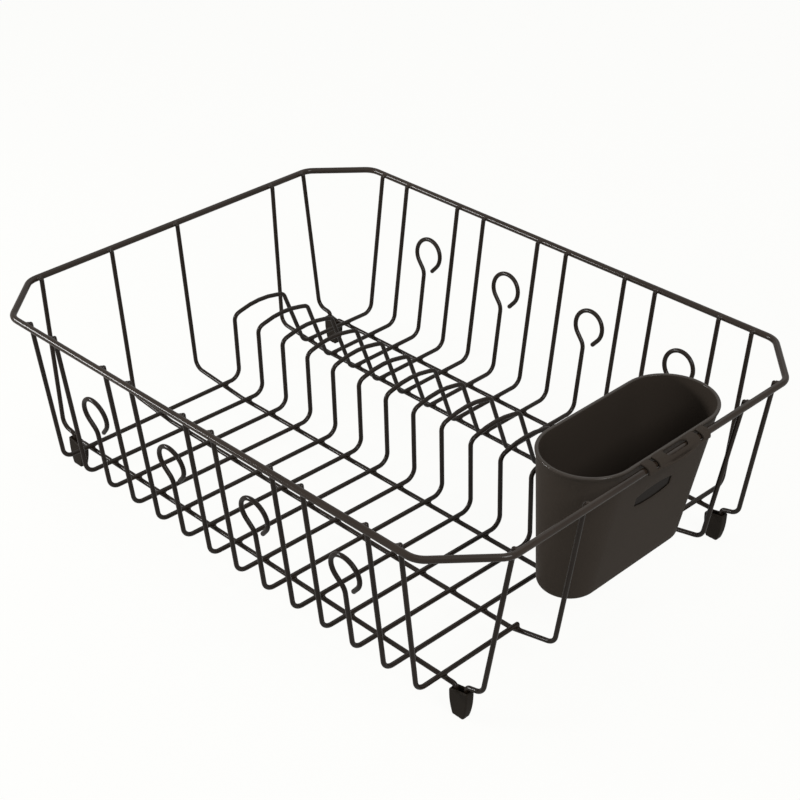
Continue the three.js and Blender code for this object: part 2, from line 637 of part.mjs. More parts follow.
function cupGeometry() {
  let cup = cupBody().add(hookBody()).subtract(badgeRecess());
  for (let k = 0; k < DRAIN_COUNT; k++) {
    const slot = stadium(DRAIN_LENGTH, DRAIN_WIDTH, -CUP_FLOOR, 2 * CUP_FLOOR).rotate([0, 0, 90]);
    const y = CUP_MIDDLE + (k - (DRAIN_COUNT - 1) / 2) * DRAIN_SPACING;
    cup = cup.subtract(slot.translate([CUP_X - CUP_LEAN, y, CUP_BOTTOM]));
  }
  return geometryOf(cup);
}
addPiece("cutlery_cup", cupGeometry(), cupPlastic);

export default rack;
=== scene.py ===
# Dish drying rack: the looks of its coated wire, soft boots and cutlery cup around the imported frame.
# Shapes are worked out in millimetres in the row frame and turned into metres when a mesh is made.
import math
from collections import namedtuple

import bmesh
import bpy
import numpy as np
from mathutils import Matrix, Quaternion, Vector
from mathutils.kdtree import KDTree


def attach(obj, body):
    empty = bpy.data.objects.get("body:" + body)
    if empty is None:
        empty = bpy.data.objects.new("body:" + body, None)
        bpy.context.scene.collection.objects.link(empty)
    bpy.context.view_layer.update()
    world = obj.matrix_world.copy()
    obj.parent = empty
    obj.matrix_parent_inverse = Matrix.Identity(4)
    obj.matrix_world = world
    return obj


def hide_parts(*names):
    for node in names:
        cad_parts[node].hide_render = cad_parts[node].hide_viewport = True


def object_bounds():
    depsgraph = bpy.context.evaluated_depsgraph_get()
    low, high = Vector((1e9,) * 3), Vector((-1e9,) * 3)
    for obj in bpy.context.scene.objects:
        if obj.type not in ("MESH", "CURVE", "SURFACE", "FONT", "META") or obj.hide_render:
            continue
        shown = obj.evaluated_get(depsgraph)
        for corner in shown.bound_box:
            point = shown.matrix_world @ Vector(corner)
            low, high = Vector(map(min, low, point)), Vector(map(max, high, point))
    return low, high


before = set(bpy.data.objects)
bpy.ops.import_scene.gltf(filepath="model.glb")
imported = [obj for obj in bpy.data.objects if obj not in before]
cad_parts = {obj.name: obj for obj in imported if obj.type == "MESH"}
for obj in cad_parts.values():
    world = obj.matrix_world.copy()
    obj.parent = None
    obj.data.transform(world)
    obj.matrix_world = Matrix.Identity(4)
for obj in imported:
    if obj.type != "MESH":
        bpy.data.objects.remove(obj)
cad_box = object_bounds()

MM = 0.001

# ---------- Dimensions, the same as the CAD's ----------
GAP = 0.3  # the CAD keeps this between pieces that touch
WIRE = 3.2
RIM_WIRE = 4.5

RIM_HALF_LENGTH = 220.0  # to the middle of the wire, as all places of wires are
RIM_HALF_WIDTH = 166.0
RIM_HEIGHT = 136.8
CORNER_CUT_X = 34.3
CORNER_CUT_Y = 37.9
RIM_BEND = 14.0
TIP_HEIGHT = 0.4  # wire ends stand this far above the rim's centre line

FLOOR_HEIGHT = 24.8
FLOOR_FALL = 4.2  # the floor drops by this from the front wall to the hump
FLOOR_HALF_LENGTH = RIM_HALF_LENGTH - 17.7
FLOOR_HALF_WIDTH = RIM_HALF_WIDTH - 18.0
FLOOR_SHIFT = -2.2  # along X, for the feet and the foot of each end wall
FLOOR_BEND = 8.0
END_RISE = 3.0  # the long wires rise this much towards the end walls
CORNER_RISE = 1.8  # and this much more by the foot of the end wall
CUP_END_RISE = 1.4  # and this much more again by the wall that carries the cup
CUP_RISE = 1.6  # where the inner ones, below the cup, rise by this too
END_LIFT = 1.8  # the first and last cross wires are lifted by this under the humps

CROSS_COUNT = 14
CROSS_MARGIN = 15.4
HUMP_FRONT = 10.9
HUMP_LEAN = 1.9
HUMP_SHOULDER = 50.6
HUMP_CROWN = 6.4
HUMP_BACK_TOP = 57.2
HUMP_BACK_FOOT = 76.2
HUMP_FOOT_BEND = 8.0
HUMP_SHOULDER_BEND = 5.5
HUMP_CROWN_BEND = 68.0

LOOP_EVERY = 3
LOOP_RADIUS = 11.8
LOOP_SHIFT = 2.5
LOOP_HEIGHT_FRONT = 63.0
LOOP_HEIGHT_BACK = 67.5
LOOP_STEM_TURN = math.radians(42)
LOOP_END_TURN = math.radians(-40)
LOOP_END_RUN = 5.5
LOOP_STEM_BEND = 9.0
LOOP_ARCS = 4

OUTER_LONG_FLOOR = FLOOR_HALF_WIDTH - 23.8
OUTER_LONG_RIM = RIM_HALF_WIDTH - 45.0
SECOND_LONG_RIM = -61.5
SECOND_LONG_FLOOR = -61.3
HUMP_FRONT_SUPPORT_Y = HUMP_FRONT - 13.4
HUMP_BACK_SUPPORT_Y = HUMP_BACK_FOOT + 8.2
HUMP_SUPPORT_BACK_LEAN = 5.0
CUT_WIRE_END = 0.7

FOOT_INSET = 16.5
DIP_HALF_SPAN = 4.05
DIP_BOTTOM = 8.3
DIP_BEND = 3.0
FOOT_INNER_HEIGHT = 18.4
FOOT_OUTER_HEIGHT = 21.4
FOOT_WALL = 1.2
FOOT_CHEEK = 1.5
FOOT_TAPER = 2.9

CUP_TOP_RADIUS = 30.4
CUP_BOTTOM_RADIUS = 19.3
CUP_HALF_STRAIGHT = 38.3
CUP_MIDDLE = 14.8
CUP_DEPTH = 102.0
CUP_WALL = 1.8
CUP_FLOOR = 2.2
CUP_BOTTOM_ROUND = 5.0
CUP_LEAN = 8.7
CUP_BEAD = 0.7
CUP_STANDOFF = 1.2
DRAIN_COUNT = 5
DRAIN_LENGTH = 16.0
DRAIN_WIDTH = 4.0
DRAIN_SPACING = 15.0

HOOK_LENGTH = 58.0
HOOK_WALL = 1.8
HOOK_SKIRT = 1.5
SLIT_WIDTH = 2.2
SLIT_INSET = 8.3
HOOK_HOLE_LENGTH = 20.0
HOOK_HOLE_WIDTH = 5.4
THUMB_TAB_LENGTH = 34.0
THUMB_TAB_REACH = 2.2

BADGE_LENGTH = 34.0
BADGE_HEIGHT = 10.5
BADGE_END_HEIGHT = 7.0
BADGE_CORNER = 1.3
BADGE_DEPTH = 0.7
BADGE_DROP = 35.4
BADGE_OFFSET = -3.6

RIM_OFFSET = RIM_WIRE / 2 + WIRE / 2 + GAP
LONG_DROP = WIRE + GAP
HOOK_TOP = RIM_HEIGHT + RIM_WIRE / 2 + GAP + HOOK_WALL
CUP_BOTTOM = HOOK_TOP - CUP_DEPTH
CUP_X = RIM_HALF_LENGTH - RIM_WIRE / 2 - CUP_STANDOFF - CUP_TOP_RADIUS

# ---------- Fineness ----------
SAME_POINT = 1e-4  # two stations nearer than this are one
TINY = 1e-6
STEEP = 0.9  # a unit vector whose rise is more than this stands nearly upright
BEND_STEP = math.radians(8)
SAMPLE = 0.6  # spacing of the rings where two wires meet
LONG_STEP = 12.0  # spacing of the rings on a free straight run
WIRE_SIDES = 18
RIM_SIDES = 26
TIP_RINGS = 6
OUTLINE_STEPS = 8  # of each rounded corner

# ---------- The wires' coating ----------
WEB = 2.3  # how far the coating's fillet reaches between two wires that touch
RIM_WEB = 1.6  # the same where one of them is the rim
WEB_LIMIT = 1.4  # the most that a fillet stands out
WEB_ROUNDS = 8
WEB_EASE = 0.8  # share of the way that each round goes
TIP_DOME = 0.9  # height of a coated tip's dome, in wire radii
TIP_START = TIP_HEIGHT - 0.8  # where the dome of a tip at the rim begins, above the rim's centre
UNEVEN = 0.015  # depth of each of the two waves in the coating's thickness
UNEVEN_LONG = 21.0  # run of the slower wave over one radian
UNEVEN_SHORT = 8.3  # and of the faster one
UNEVEN_RATIO = 2.6  # the faster wave's phase, as a multiple of the slower one's
UNEVEN_STEP = 1.7  # the phase moves on by this from wire to wire
THINNING = 0.02  # how much thinner than the CAD's the wires are on the average
RIM_THINNING = 0.01


# ---------- Mesh helpers ----------
def mesh_object(name, vertices, faces, node=None, body=None, material=None):
    """A smooth-shaded mesh from millimetre vertices. With a node, it is a piece that stands for that node."""
    mesh = bpy.data.meshes.new(name)
    mesh.from_pydata((np.asarray(vertices) * MM).tolist(), [], faces)
    mesh.update()
    piece = bpy.data.objects.new(name, mesh)
    bpy.context.scene.collection.objects.link(piece)
    mesh.polygons.foreach_set("use_smooth", [True] * len(mesh.polygons))
    if material:
        mesh.materials.append(material)
    if node:
        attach(piece, body)
        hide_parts(node)
    return piece


def ring_faces(rings, sides):
    """Quads between rings of vertices that follow each other."""
    faces = []
    for i in range(rings - 1):
        a = i * sides
        b = (i + 1) * sides
        for k in range(sides):
            m = (k + 1) % sides
            faces.append((a + k, a + m, b + m, b + k))
    return faces


def unit(v):
    """v at length 1."""
    return v / np.linalg.norm(v)


def turned(v, axis, angle):
    """v turned about a unit axis."""
    c, s = math.cos(angle), math.sin(angle)
    return v * c + np.cross(axis, v) * s + axis * np.dot(axis, v) * (1 - c)


def bent(corners, closed=False, fixed_steps=None):
    """Points and unit tangents of straight runs joined by arcs, from (x, y, z, bend radius) corners."""
    at = [np.array(c[:3], float) for c in corners]
    points, tangents = [], []

    def station(p, t):
        if points and np.linalg.norm(points[-1] - p) < SAME_POINT:
            return
        points.append(p)
        tangents.append(t)

    count = len(at)
    for i in range(count):
        ends = not closed and i in (0, count - 1)
        if ends:
            along = at[1] - at[0] if i == 0 else at[-1] - at[-2]
            station(at[i], unit(along))
            continue
        arriving = unit(at[i] - at[i - 1])
        leaving = unit(at[(i + 1) % count] - at[i])
        bend = corners[i][3]
        turn = math.acos(max(-1.0, min(1.0, float(np.dot(arriving, leaving)))))
        axis = unit(np.cross(arriving, leaving))
        start = at[i] - arriving * bend * math.tan(turn / 2)
        centre = start + np.cross(axis, arriving) * bend
        steps = fixed_steps or max(1, math.ceil(turn / BEND_STEP - TINY))
        for k in range(steps + 1):
            angle = turn * k / steps
            station(centre + turned(start - centre, axis, angle), turned(arriving, axis, angle))
    return np.array(points), np.array(tangents)


def sampled(points, tangents, closed):
    """The same line with added points, and which of them were bend stations."""
    out_p, out_t, fixed = [], [], []
    count = len(points)
    for i in range(count if closed else count - 1):
        a, b = points[i], points[(i + 1) % count]
        ta, tb = tangents[i], tangents[(i + 1) % count]
        length = np.linalg.norm(b - a)
        parts = max(1, int(math.ceil(length / SAMPLE)))
        for k in range(parts):
            share = k / parts
            out_p.append(a + (b - a) * share)
            out_t.append(unit(ta + (tb - ta) * share))
            fixed.append(k == 0)
    if not closed:
        out_p.append(points[-1])
        out_t.append(tangents[-1])
        fixed.append(True)
    return np.array(out_p), np.array(out_t), fixed


# ---------- Courses of the wires ----------
def out_at(foot_out, foot_height, rim_out, height):
    """How far out a wall stands at a height, from its foot and the rim that it leans on from within."""
    slope = (rim_out - RIM_OFFSET - foot_out) / (RIM_HEIGHT - foot_height)
    return foot_out + slope * (height - foot_height)


def wall_y(height):
    """How far from the middle the long walls stand at a height."""
    return out_at(FLOOR_HALF_WIDTH, FLOOR_HEIGHT, RIM_HALF_WIDTH, height)


LAST_CROSS_X = RIM_HALF_LENGTH - CORNER_CUT_X - CROSS_MARGIN
CROSS_PITCH = 2 * LAST_CROSS_X / (CROSS_COUNT - 1)


def cross_x(number):
    """Where along the rack a cross wire is, counted from 1 at the left."""
    return (number - 1) * CROSS_PITCH - LAST_CROSS_X


def floor_height(y):
    """Height of the cross wires' floor at y."""
    if y > HUMP_FRONT:
        return FLOOR_HEIGHT
    share = (y + FLOOR_HALF_WIDTH) / (HUMP_FRONT + FLOOR_HALF_WIDTH)
    return FLOOR_HEIGHT - FLOOR_FALL * share


def end_lift(y):
    """How far the first and last cross wires are lifted off the others' floor at y."""
    span = FLOOR_HALF_WIDTH + (HUMP_FRONT if y < 0 else -HUMP_BACK_FOOT)
    return END_LIFT * min(1.0, (FLOOR_HALF_WIDTH - abs(y)) / span)


def rim_corners():
    """The rim: a rectangle with four cut-off corners."""
    near_x = RIM_HALF_LENGTH - CORNER_CUT_X
    near_y = RIM_HALF_WIDTH - CORNER_CUT_Y
    quarter = [(RIM_HALF_LENGTH, near_y), (near_x, RIM_HALF_WIDTH)]
    half = quarter + [(-x, y) for x, y in reversed(quarter)]
    whole = half + [(-x, -y) for x, y in half]
    return [(x, y, RIM_HEIGHT, RIM_BEND) for x, y in whole]


def wall_foot(x, side):
    """The bend from the floor into a long wall."""
    return (x, side * FLOOR_HALF_WIDTH, FLOOR_HEIGHT, FLOOR_BEND)


def wall_tip(x, side):
    """The end of a cross wire at the rim."""
    height = RIM_HEIGHT + TIP_START
    return (x, side * wall_y(height), height, 0)


def loop_corners(x, side):
    """The open loop at the top of a stem, in the plane of the wall, from the stem's bend to its free end."""
    centre_height = FLOOR_HEIGHT + (LOOP_HEIGHT_FRONT if side < 0 else LOOP_HEIGHT_BACK)
    foot = np.array([x, side * FLOOR_HALF_WIDTH, FLOOR_HEIGHT])
    up = np.array([x, side * wall_y(centre_height), centre_height]) - foot
    centre_rise = np.linalg.norm(up)
    up = up / centre_rise

    def in_wall(across, rise, bend=0):
        return (*(foot + up * rise + np.array([across, 0, 0])), bend)

    start = math.pi + LOOP_STEM_TURN
    touch_across = LOOP_SHIFT + LOOP_RADIUS * math.cos(start)
    touch_rise = centre_rise + LOOP_RADIUS * math.sin(start)
    corners = [in_wall(0, touch_rise + touch_across / math.tan(LOOP_STEM_TURN), LOOP_STEM_BEND)]
    half = (start - LOOP_END_TURN) / LOOP_ARCS / 2
    reach = LOOP_RADIUS / math.cos(half)
    for k in range(LOOP_ARCS):
        angle = start - half * (2 * k + 1)
        across = LOOP_SHIFT + reach * math.cos(angle)
        corners.append(in_wall(across, centre_rise + reach * math.sin(angle), LOOP_RADIUS))
    end_across = LOOP_SHIFT + LOOP_RADIUS * math.cos(LOOP_END_TURN) + LOOP_END_RUN * math.sin(LOOP_END_TURN)
    end_rise = centre_rise + LOOP_RADIUS * math.sin(LOOP_END_TURN) - LOOP_END_RUN * math.cos(LOOP_END_TURN)
    return corners + [in_wall(end_across, end_rise)]


def hump_corners(x, lift):
    """The plate divider's hump in one cross wire, its feet lifted off the floor by lift."""
    shoulder = FLOOR_HEIGHT + HUMP_SHOULDER
    front_top = HUMP_FRONT - HUMP_LEAN
    return [
        (x, HUMP_FRONT, floor_height(HUMP_FRONT) + lift, HUMP_FOOT_BEND),
        (x, front_top, shoulder, HUMP_SHOULDER_BEND),
        (x, (front_top + HUMP_BACK_TOP) / 2, shoulder + HUMP_CROWN, HUMP_CROWN_BEND),
        (x, HUMP_BACK_TOP, shoulder, HUMP_SHOULDER_BEND),
        (x, HUMP_BACK_FOOT, FLOOR_HEIGHT + lift, HUMP_FOOT_BEND),
    ]


def foot_x(end):
    """Where along the rack the feet of one end are."""
    return end * (FLOOR_HALF_LENGTH - FOOT_INSET) + FLOOR_SHIFT


def long_wire_end(end, rim_y, floor_y, footed):
    """One end of a long wire, from the floor up the end wall. A footed one has a dip that carries a foot."""
    floor = floor_height(floor_y) - LONG_DROP
    cup_rise = CUP_END_RISE if footed else CUP_END_RISE + CUP_RISE
    rise = END_RISE + CORNER_RISE + (cup_rise if end > 0 else 0)
    tip = RIM_HEIGHT + TIP_START
    wall_foot_x = FLOOR_HALF_LENGTH + end * FLOOR_SHIFT
    tip_x = out_at(wall_foot_x, floor + rise, RIM_HALF_LENGTH, tip)
    inner = foot_x(end) - end * DIP_HALF_SPAN
    outer = foot_x(end) + end * DIP_HALF_SPAN
    dip = [
        (inner, floor_y, floor, DIP_BEND),
        (inner, floor_y, DIP_BOTTOM, DIP_BEND),
        (outer, floor_y, DIP_BOTTOM, DIP_BEND),
        (outer, floor_y, floor + END_RISE, DIP_BEND),
    ]
    lift = end_lift(floor_y)
    rise_start = LAST_CROSS_X - (wall_foot_x - LAST_CROSS_X) * lift / (rise - lift)
    plain = [(end * rise_start, floor_y, floor, FLOOR_BEND)]
    corner = (end * wall_foot_x, floor_y, floor + rise, FLOOR_BEND)
    return (dip if footed else plain) + [corner, (end * tip_x, rim_y, tip, 0)]


def long_corners(rim_y, floor_y, footed=False):
    """A long wire from rim to rim."""
    left = long_wire_end(-1, rim_y, floor_y, footed)
    return left[::-1] + long_wire_end(1, rim_y, floor_y, footed)


def cut_long_corners():
    """The long wire that stops short of the cup, at the last whole cross wire."""
    y = HUMP_FRONT_SUPPORT_Y
    left = long_wire_end(-1, y, y, False)
    end = (cross_x(CROSS_COUNT - 1) + CUT_WIRE_END, y, floor_height(y) - LONG_DROP, 0)
    return left[::-1] + [end]


def cut_cross_corners(side, carrier):
    """One half of the last cross wire, which ends on the long wire at y = carrier."""
    x = cross_x(CROSS_COUNT)
    end_y = carrier - side * CUT_WIRE_END
    return [wall_tip(x, side), wall_foot(x, side), (x, end_y, floor_height(end_y) + end_lift(end_y), 0)]


courses = {"rim_wire": rim_corners()}
for number in range(1, CROSS_COUNT):
    x = cross_x(number)
    looped = number % LOOP_EVERY == 0
    front = loop_corners(x, -1)[::-1] if looped else [wall_tip(x, -1)]
    back = loop_corners(x, 1) if looped else [wall_tip(x, 1)]
    hump = hump_corners(x, END_LIFT if number == 1 else 0)
    course = front + [wall_foot(x, -1)] + hump + [wall_foot(x, 1)] + back
    courses[f"cross_wire_{number:02d}"] = course
courses["cross_wire_14_front"] = cut_cross_corners(-1, SECOND_LONG_FLOOR)
courses["cross_wire_14_back"] = cut_cross_corners(1, HUMP_BACK_SUPPORT_Y)
courses["long_wire_1"] = long_corners(-OUTER_LONG_RIM, -OUTER_LONG_FLOOR, True)
courses["long_wire_2"] = long_corners(SECOND_LONG_RIM, SECOND_LONG_FLOOR)
courses["long_wire_3"] = cut_long_corners()
courses["long_wire_4"] = long_corners(HUMP_BACK_SUPPORT_Y + HUMP_SUPPORT_BACK_LEAN, HUMP_BACK_SUPPORT_Y)
courses["long_wire_5"] = long_corners(OUTER_LONG_RIM, OUTER_LONG_FLOOR, True)


# ---------- Materials ----------
BODY_SHEEN = 0.001  # a plastic's gloss comes from its clear skin
PATCH_WAVES = 9  # size of the patches of tone, in waves
GLOSS_WAVES = 4  # size of the patches of gloss
PATCH_LOW, PATCH_HIGH = 0.35, 0.65  # the tone changes over this stretch of the noise
GLOSS_LOW, GLOSS_HIGH = 0.3, 0.7  # and the gloss over this one
CUP_DARK = (0.033, 0.0264, 0.0212)
CUP_LIGHT = (0.0365, 0.0294, 0.0236)


def plastic(name, dark, light, skin, skin_roughness, roughness, grain, wave):
    """A coloured plastic: two close tones in soft patches, uneven gloss, a fine grain and a slow wave under a
    glossy skin. Roughness is (lowest, highest), and grain and wave are (size, depth) in millimetres."""
    material = bpy.data.materials.new(name)
    material.use_nodes = True
    nodes, links = material.node_tree.nodes, material.node_tree.links
    shader = nodes["Principled BSDF"]
    shader.inputs["Specular IOR Level"].default_value = BODY_SHEEN
    shader.inputs["Coat Weight"].default_value = skin
    shader.inputs["Coat Roughness"].default_value = skin_roughness
    coordinates = nodes.new("ShaderNodeTexCoord")

    def noise(size, detail):
        texture = nodes.new("ShaderNodeTexNoise")
        texture.inputs["Scale"].default_value = 1 / (size * MM)
        texture.inputs["Detail"].default_value = detail
        links.new(coordinates.outputs["Object"], texture.inputs["Vector"])
        return texture.outputs["Fac"]

    patches = nodes.new("ShaderNodeValToRGB")
    patches.color_ramp.elements[0].position = PATCH_LOW
    patches.color_ramp.elements[1].position = PATCH_HIGH
    patches.color_ramp.elements[0].color = (*dark, 1)
    patches.color_ramp.elements[1].color = (*light, 1)
    links.new(noise(PATCH_WAVES * wave[0], detail=3), patches.inputs["Fac"])
    links.new(patches.outputs["Color"], shader.inputs["Base Color"])

    gloss = nodes.new("ShaderNodeMapRange")
    gloss.inputs["From Min"].default_value = GLOSS_LOW
    gloss.inputs["From Max"].default_value = GLOSS_HIGH
    gloss.inputs["To Min"].default_value = roughness[0]
    gloss.inputs["To Max"].default_value = roughness[1]
    links.new(noise(GLOSS_WAVES * wave[0], detail=4), gloss.inputs["Value"])
    links.new(gloss.outputs["Result"], shader.inputs["Roughness"])

    normal = None
    for (size, depth), detail in ((wave, 1), (grain, 3)):
        bump = nodes.new("ShaderNodeBump")
        bump.inputs["Strength"].default_value = 1
        bump.inputs["Distance"].default_value = depth * MM
        links.new(noise(size, detail), bump.inputs["Height"])
        if normal:
            links.new(normal, bump.inputs["Normal"])
        normal = bump.outputs["Normal"]
    links.new(normal, shader.inputs["Normal"])
    return material


rim_coating = plastic(
    "rim_coating_vinyl",
    dark=(0.0195, 0.0132, 0.0092),
    light=(0.0248, 0.0172, 0.0122),
    skin=0.36,
    skin_roughness=0.15,
    roughness=(0.2, 0.27),
    grain=(0.5, 0.003),
    wave=(5, 0.04),
)
wire_coating = plastic(
    "wire_coating_vinyl",
    dark=(0.0118, 0.0079, 0.0053),
    light=(0.0154, 0.0106, 0.0076),
    skin=0.28,
    skin_roughness=0.19,
    roughness=(0.21, 0.29),
    grain=(0.5, 0.004),
    wave=(5, 0.04),
)
foot_plastic = plastic(
    "foot_soft_plastic",
    dark=(0.0122, 0.0093, 0.0066),
    light=(0.0156, 0.0123, 0.0093),
    skin=0.14,
    skin_roughness=0.5,
    roughness=(0.5, 0.62),
    grain=(0.35, 0.03),
    wave=(4, 0.04),
)
cup_plastic = plastic(
    "cup_moulded_plastic",
    dark=CUP_DARK,
    light=CUP_LIGHT,
    skin=0.06,
    skin_roughness=0.34,
    roughness=(0.36, 0.42),
    grain=(0.45, 0.02),
    wave=(12, 0.05),
)
# The recess floor: a glossier skin, and a colour about a third as light as the cup's, which is painted shade
# for the shade that falls in the recess.
recess_painted_shade_plastic = plastic(
    "cup_recess_polished_painted_shade",
    dark=(0.0105, 0.0083, 0.0066),
    light=(0.0125, 0.01, 0.008),
    skin=0.08,
    skin_roughness=0.15,
    roughness=(0.3, 0.36),
    grain=(0.45, 0.005),
    wave=(12, 0.03),
)
lip_plastic = plastic(
    "cup_lip_polished",
    dark=CUP_DARK,
    light=CUP_LIGHT,
    skin=0.3,
    skin_roughness=0.1,
    roughness=(0.3, 0.36),
    grain=(0.45, 0.004),
    wave=(12, 0.03),
)

# ---------- Coated wires ----------
wires = {}
for name, corners in courses.items():
    closed = name == "rim_wire"
    points, tangents, fixed = sampled(*bent(corners, closed), closed)
    wires[name] = {
        "points": points,
        "tangents": tangents,
        "fixed": fixed,
        "closed": closed,
        "radius": (RIM_WIRE if closed else WIRE) / 2,
    }

every_wire = list(wires.values())
sample_counts = [len(wire["points"]) for wire in every_wire]
owners = np.repeat(np.arange(len(every_wire)), sample_counts)
all_radii = np.repeat([wire["radius"] for wire in every_wire], sample_counts)
all_points = np.concatenate([wire["points"] for wire in every_wire])
all_tangents = np.concatenate([wire["tangents"] for wire in every_wire])
tree = KDTree(len(all_points))
for index, point in enumerate(all_points):
    tree.insert(point, index)
tree.balance()


def nearest_other(owner, point, reach):
    """The nearest sample of another wire within reach, or -1."""
    best, found = reach, -1
    for _, index, distance in tree.find_range(point, reach):
        if owners[index] != owner and distance < best:
            best, found = distance, index
    return found


def smooth_union(a, b, k):
    """The nearer of two distances, with a fillet of reach k where they are close."""
    blend = np.clip(1 - np.abs(a - b) / k, 0, None)
    return np.minimum(a, b) - k / 4 * blend * blend


def web_rise(vertices, normals, others, radius):
    """How far each vertex of a wire's coating stands out where it runs into the other wire's coating."""
    rise = np.zeros(len(vertices))
    near = others >= 0
    start, out, other = vertices[near], normals[near], others[near]
    centres, directions, radii = all_points[other], all_tangents[other], all_radii[other]
    web = np.where(np.maximum(radii, radius) > WIRE / 2, RIM_WEB, WEB)
    height = np.zeros(len(start))
    for _ in range(WEB_ROUNDS):
        away = start + out * height[:, None] - centres
        away = away - (away * directions).sum(1)[:, None] * directions
        distance = smooth_union(height, np.linalg.norm(away, axis=1) - radii, web)
        height = np.clip(height - WEB_EASE * distance, 0, WEB_LIMIT)
    rise[near] = height
    return rise


def carried_frames(tangents):
    """Normals and binormals carried along a line without twist."""
    start = np.array([1.0, 0, 0]) if abs(tangents[0][2]) > STEEP else np.array([0, 0, 1.0])
    normals, binormals = [], []
    for tangent in tangents:
        start = unit(start - tangent * np.dot(start, tangent))
        normals.append(start)
        binormals.append(np.cross(tangent, start))
    return np.array(normals), np.array(binormals)


def kept_samples(wire, others):
    """The samples that get a ring: bends, places near another wire, and enough of the straight runs."""
    points = wire["points"]
    kept, last = [], 0
    for i, point in enumerate(points):
        travelled = np.linalg.norm(point - points[last])
        if others[i] >= 0 or wire["fixed"][i] or travelled > LONG_STEP:
            kept.append(i)
            last = i
    return kept


def thickness_change(distance, phase, closed):
    """How much the coating's radius differs from the CAD's, at each distance along a wire."""
    if closed:
        return np.full(len(distance), -RIM_THINNING)
    slow = np.sin(distance / UNEVEN_LONG + phase)
    fast = np.sin(distance / UNEVEN_SHORT + UNEVEN_RATIO * phase)
    return UNEVEN * (slow + fast) - THINNING


# Around holds the directions from the centre to a ring's vertices. Tilt turns its normals towards along.
Ring = namedtuple("Ring", "centre around radius tilt along other")


def dome_rings(foot, along):
    """The rings with which the coating rounds off a cut end, outwards from the wire's last ring."""
    rings = []
    for k in range(1, TIP_RINGS):
        angle = math.pi / 2 * k / TIP_RINGS
        centre = foot.centre + along * foot.radius * TIP_DOME * math.sin(angle)
        size = foot.radius * math.cos(angle)
        rings.append(foot._replace(centre=centre, radius=size, tilt=math.sin(angle), along=along))
    return rings


def closing_faces(vertices, sides):
    """Quads from a closed wire's last ring to its first. The carried frame comes back turned a little, so
    they join where the two fit best."""
    first, final = vertices[:sides], vertices[-sides:]
    gaps = [np.linalg.norm(np.roll(first, -s, axis=0) - final, axis=1).sum() for s in range(sides)]
    shift = int(np.argmin(gaps))
    last = len(vertices) - sides
    faces = []
    for k in range(sides):
        m = (k + 1) % sides
        faces.append((last + k, last + m, (m + shift) % sides, (k + shift) % sides))
    return faces


def tip_faces(count, sides):
    """Triangles from the first and the last ring of count vertices to the two tips that follow them."""
    faces = []
    last = count - sides
    for k in range(sides):
        m = (k + 1) % sides
        faces.append((count, m, k))
        faces.append((count + 1, last + k, last + m))
    return faces


def wire_mesh(owner, wire, sides, phase):
    """Vertices and faces of one coated wire."""
    radius, closed = wire["radius"], wire["closed"]
    reach = radius + RIM_WIRE / 2 + WEB + GAP
    others = np.array([nearest_other(owner, point, reach) for point in wire["points"]])
    kept = kept_samples(wire, others)
    points, tangents, others = wire["points"][kept], wire["tangents"][kept], others[kept]
    normals, binormals = carried_frames(tangents)
    turn = np.arange(sides) * 2 * math.pi / sides
    around = normals[:, None] * np.cos(turn)[None, :, None] + binormals[:, None] * np.sin(turn)[None, :, None]
    distance = np.concatenate([[0], np.cumsum(np.linalg.norm(np.diff(points, axis=0), axis=1))])
    radii = radius + thickness_change(distance, phase, closed)
    rings = [Ring(*row) for row in zip(points, around, radii, [0.0] * len(points), tangents, others)]
    if not closed:
        start, end = rings[0]._replace(radius=radius), rings[-1]._replace(radius=radius)
        rings = dome_rings(start, -tangents[0])[::-1] + rings + dome_rings(end, tangents[-1])
    vertices = np.array([r.centre + r.around * r.radius for r in rings]).reshape(-1, 3)
    out = [r.around * math.sqrt(1 - r.tilt * r.tilt) + r.along * r.tilt for r in rings]
    out = np.array(out).reshape(-1, 3)
    near = np.repeat([r.other for r in rings], sides)
    vertices = vertices + out * web_rise(vertices, out, near, radius)[:, None]
    faces = ring_faces(len(rings), sides)
    if closed:
        return vertices, faces + closing_faces(vertices, sides)
    tips = [points[0] - tangents[0] * radius * TIP_DOME, points[-1] + tangents[-1] * radius * TIP_DOME]
    return np.concatenate([vertices, tips]), faces + tip_faces(len(vertices), sides)


for owner, (name, wire) in enumerate(wires.items()):
    is_rim = name == "rim_wire"
    vertices, faces = wire_mesh(owner, wire, RIM_SIDES if is_rim else WIRE_SIDES, UNEVEN_STEP * owner)
    slot, material = ("rim_coating", rim_coating) if is_rim else ("wire_coating", wire_coating)
    mesh_object(f"{name}_coated", vertices, faces, name, "rack", material)


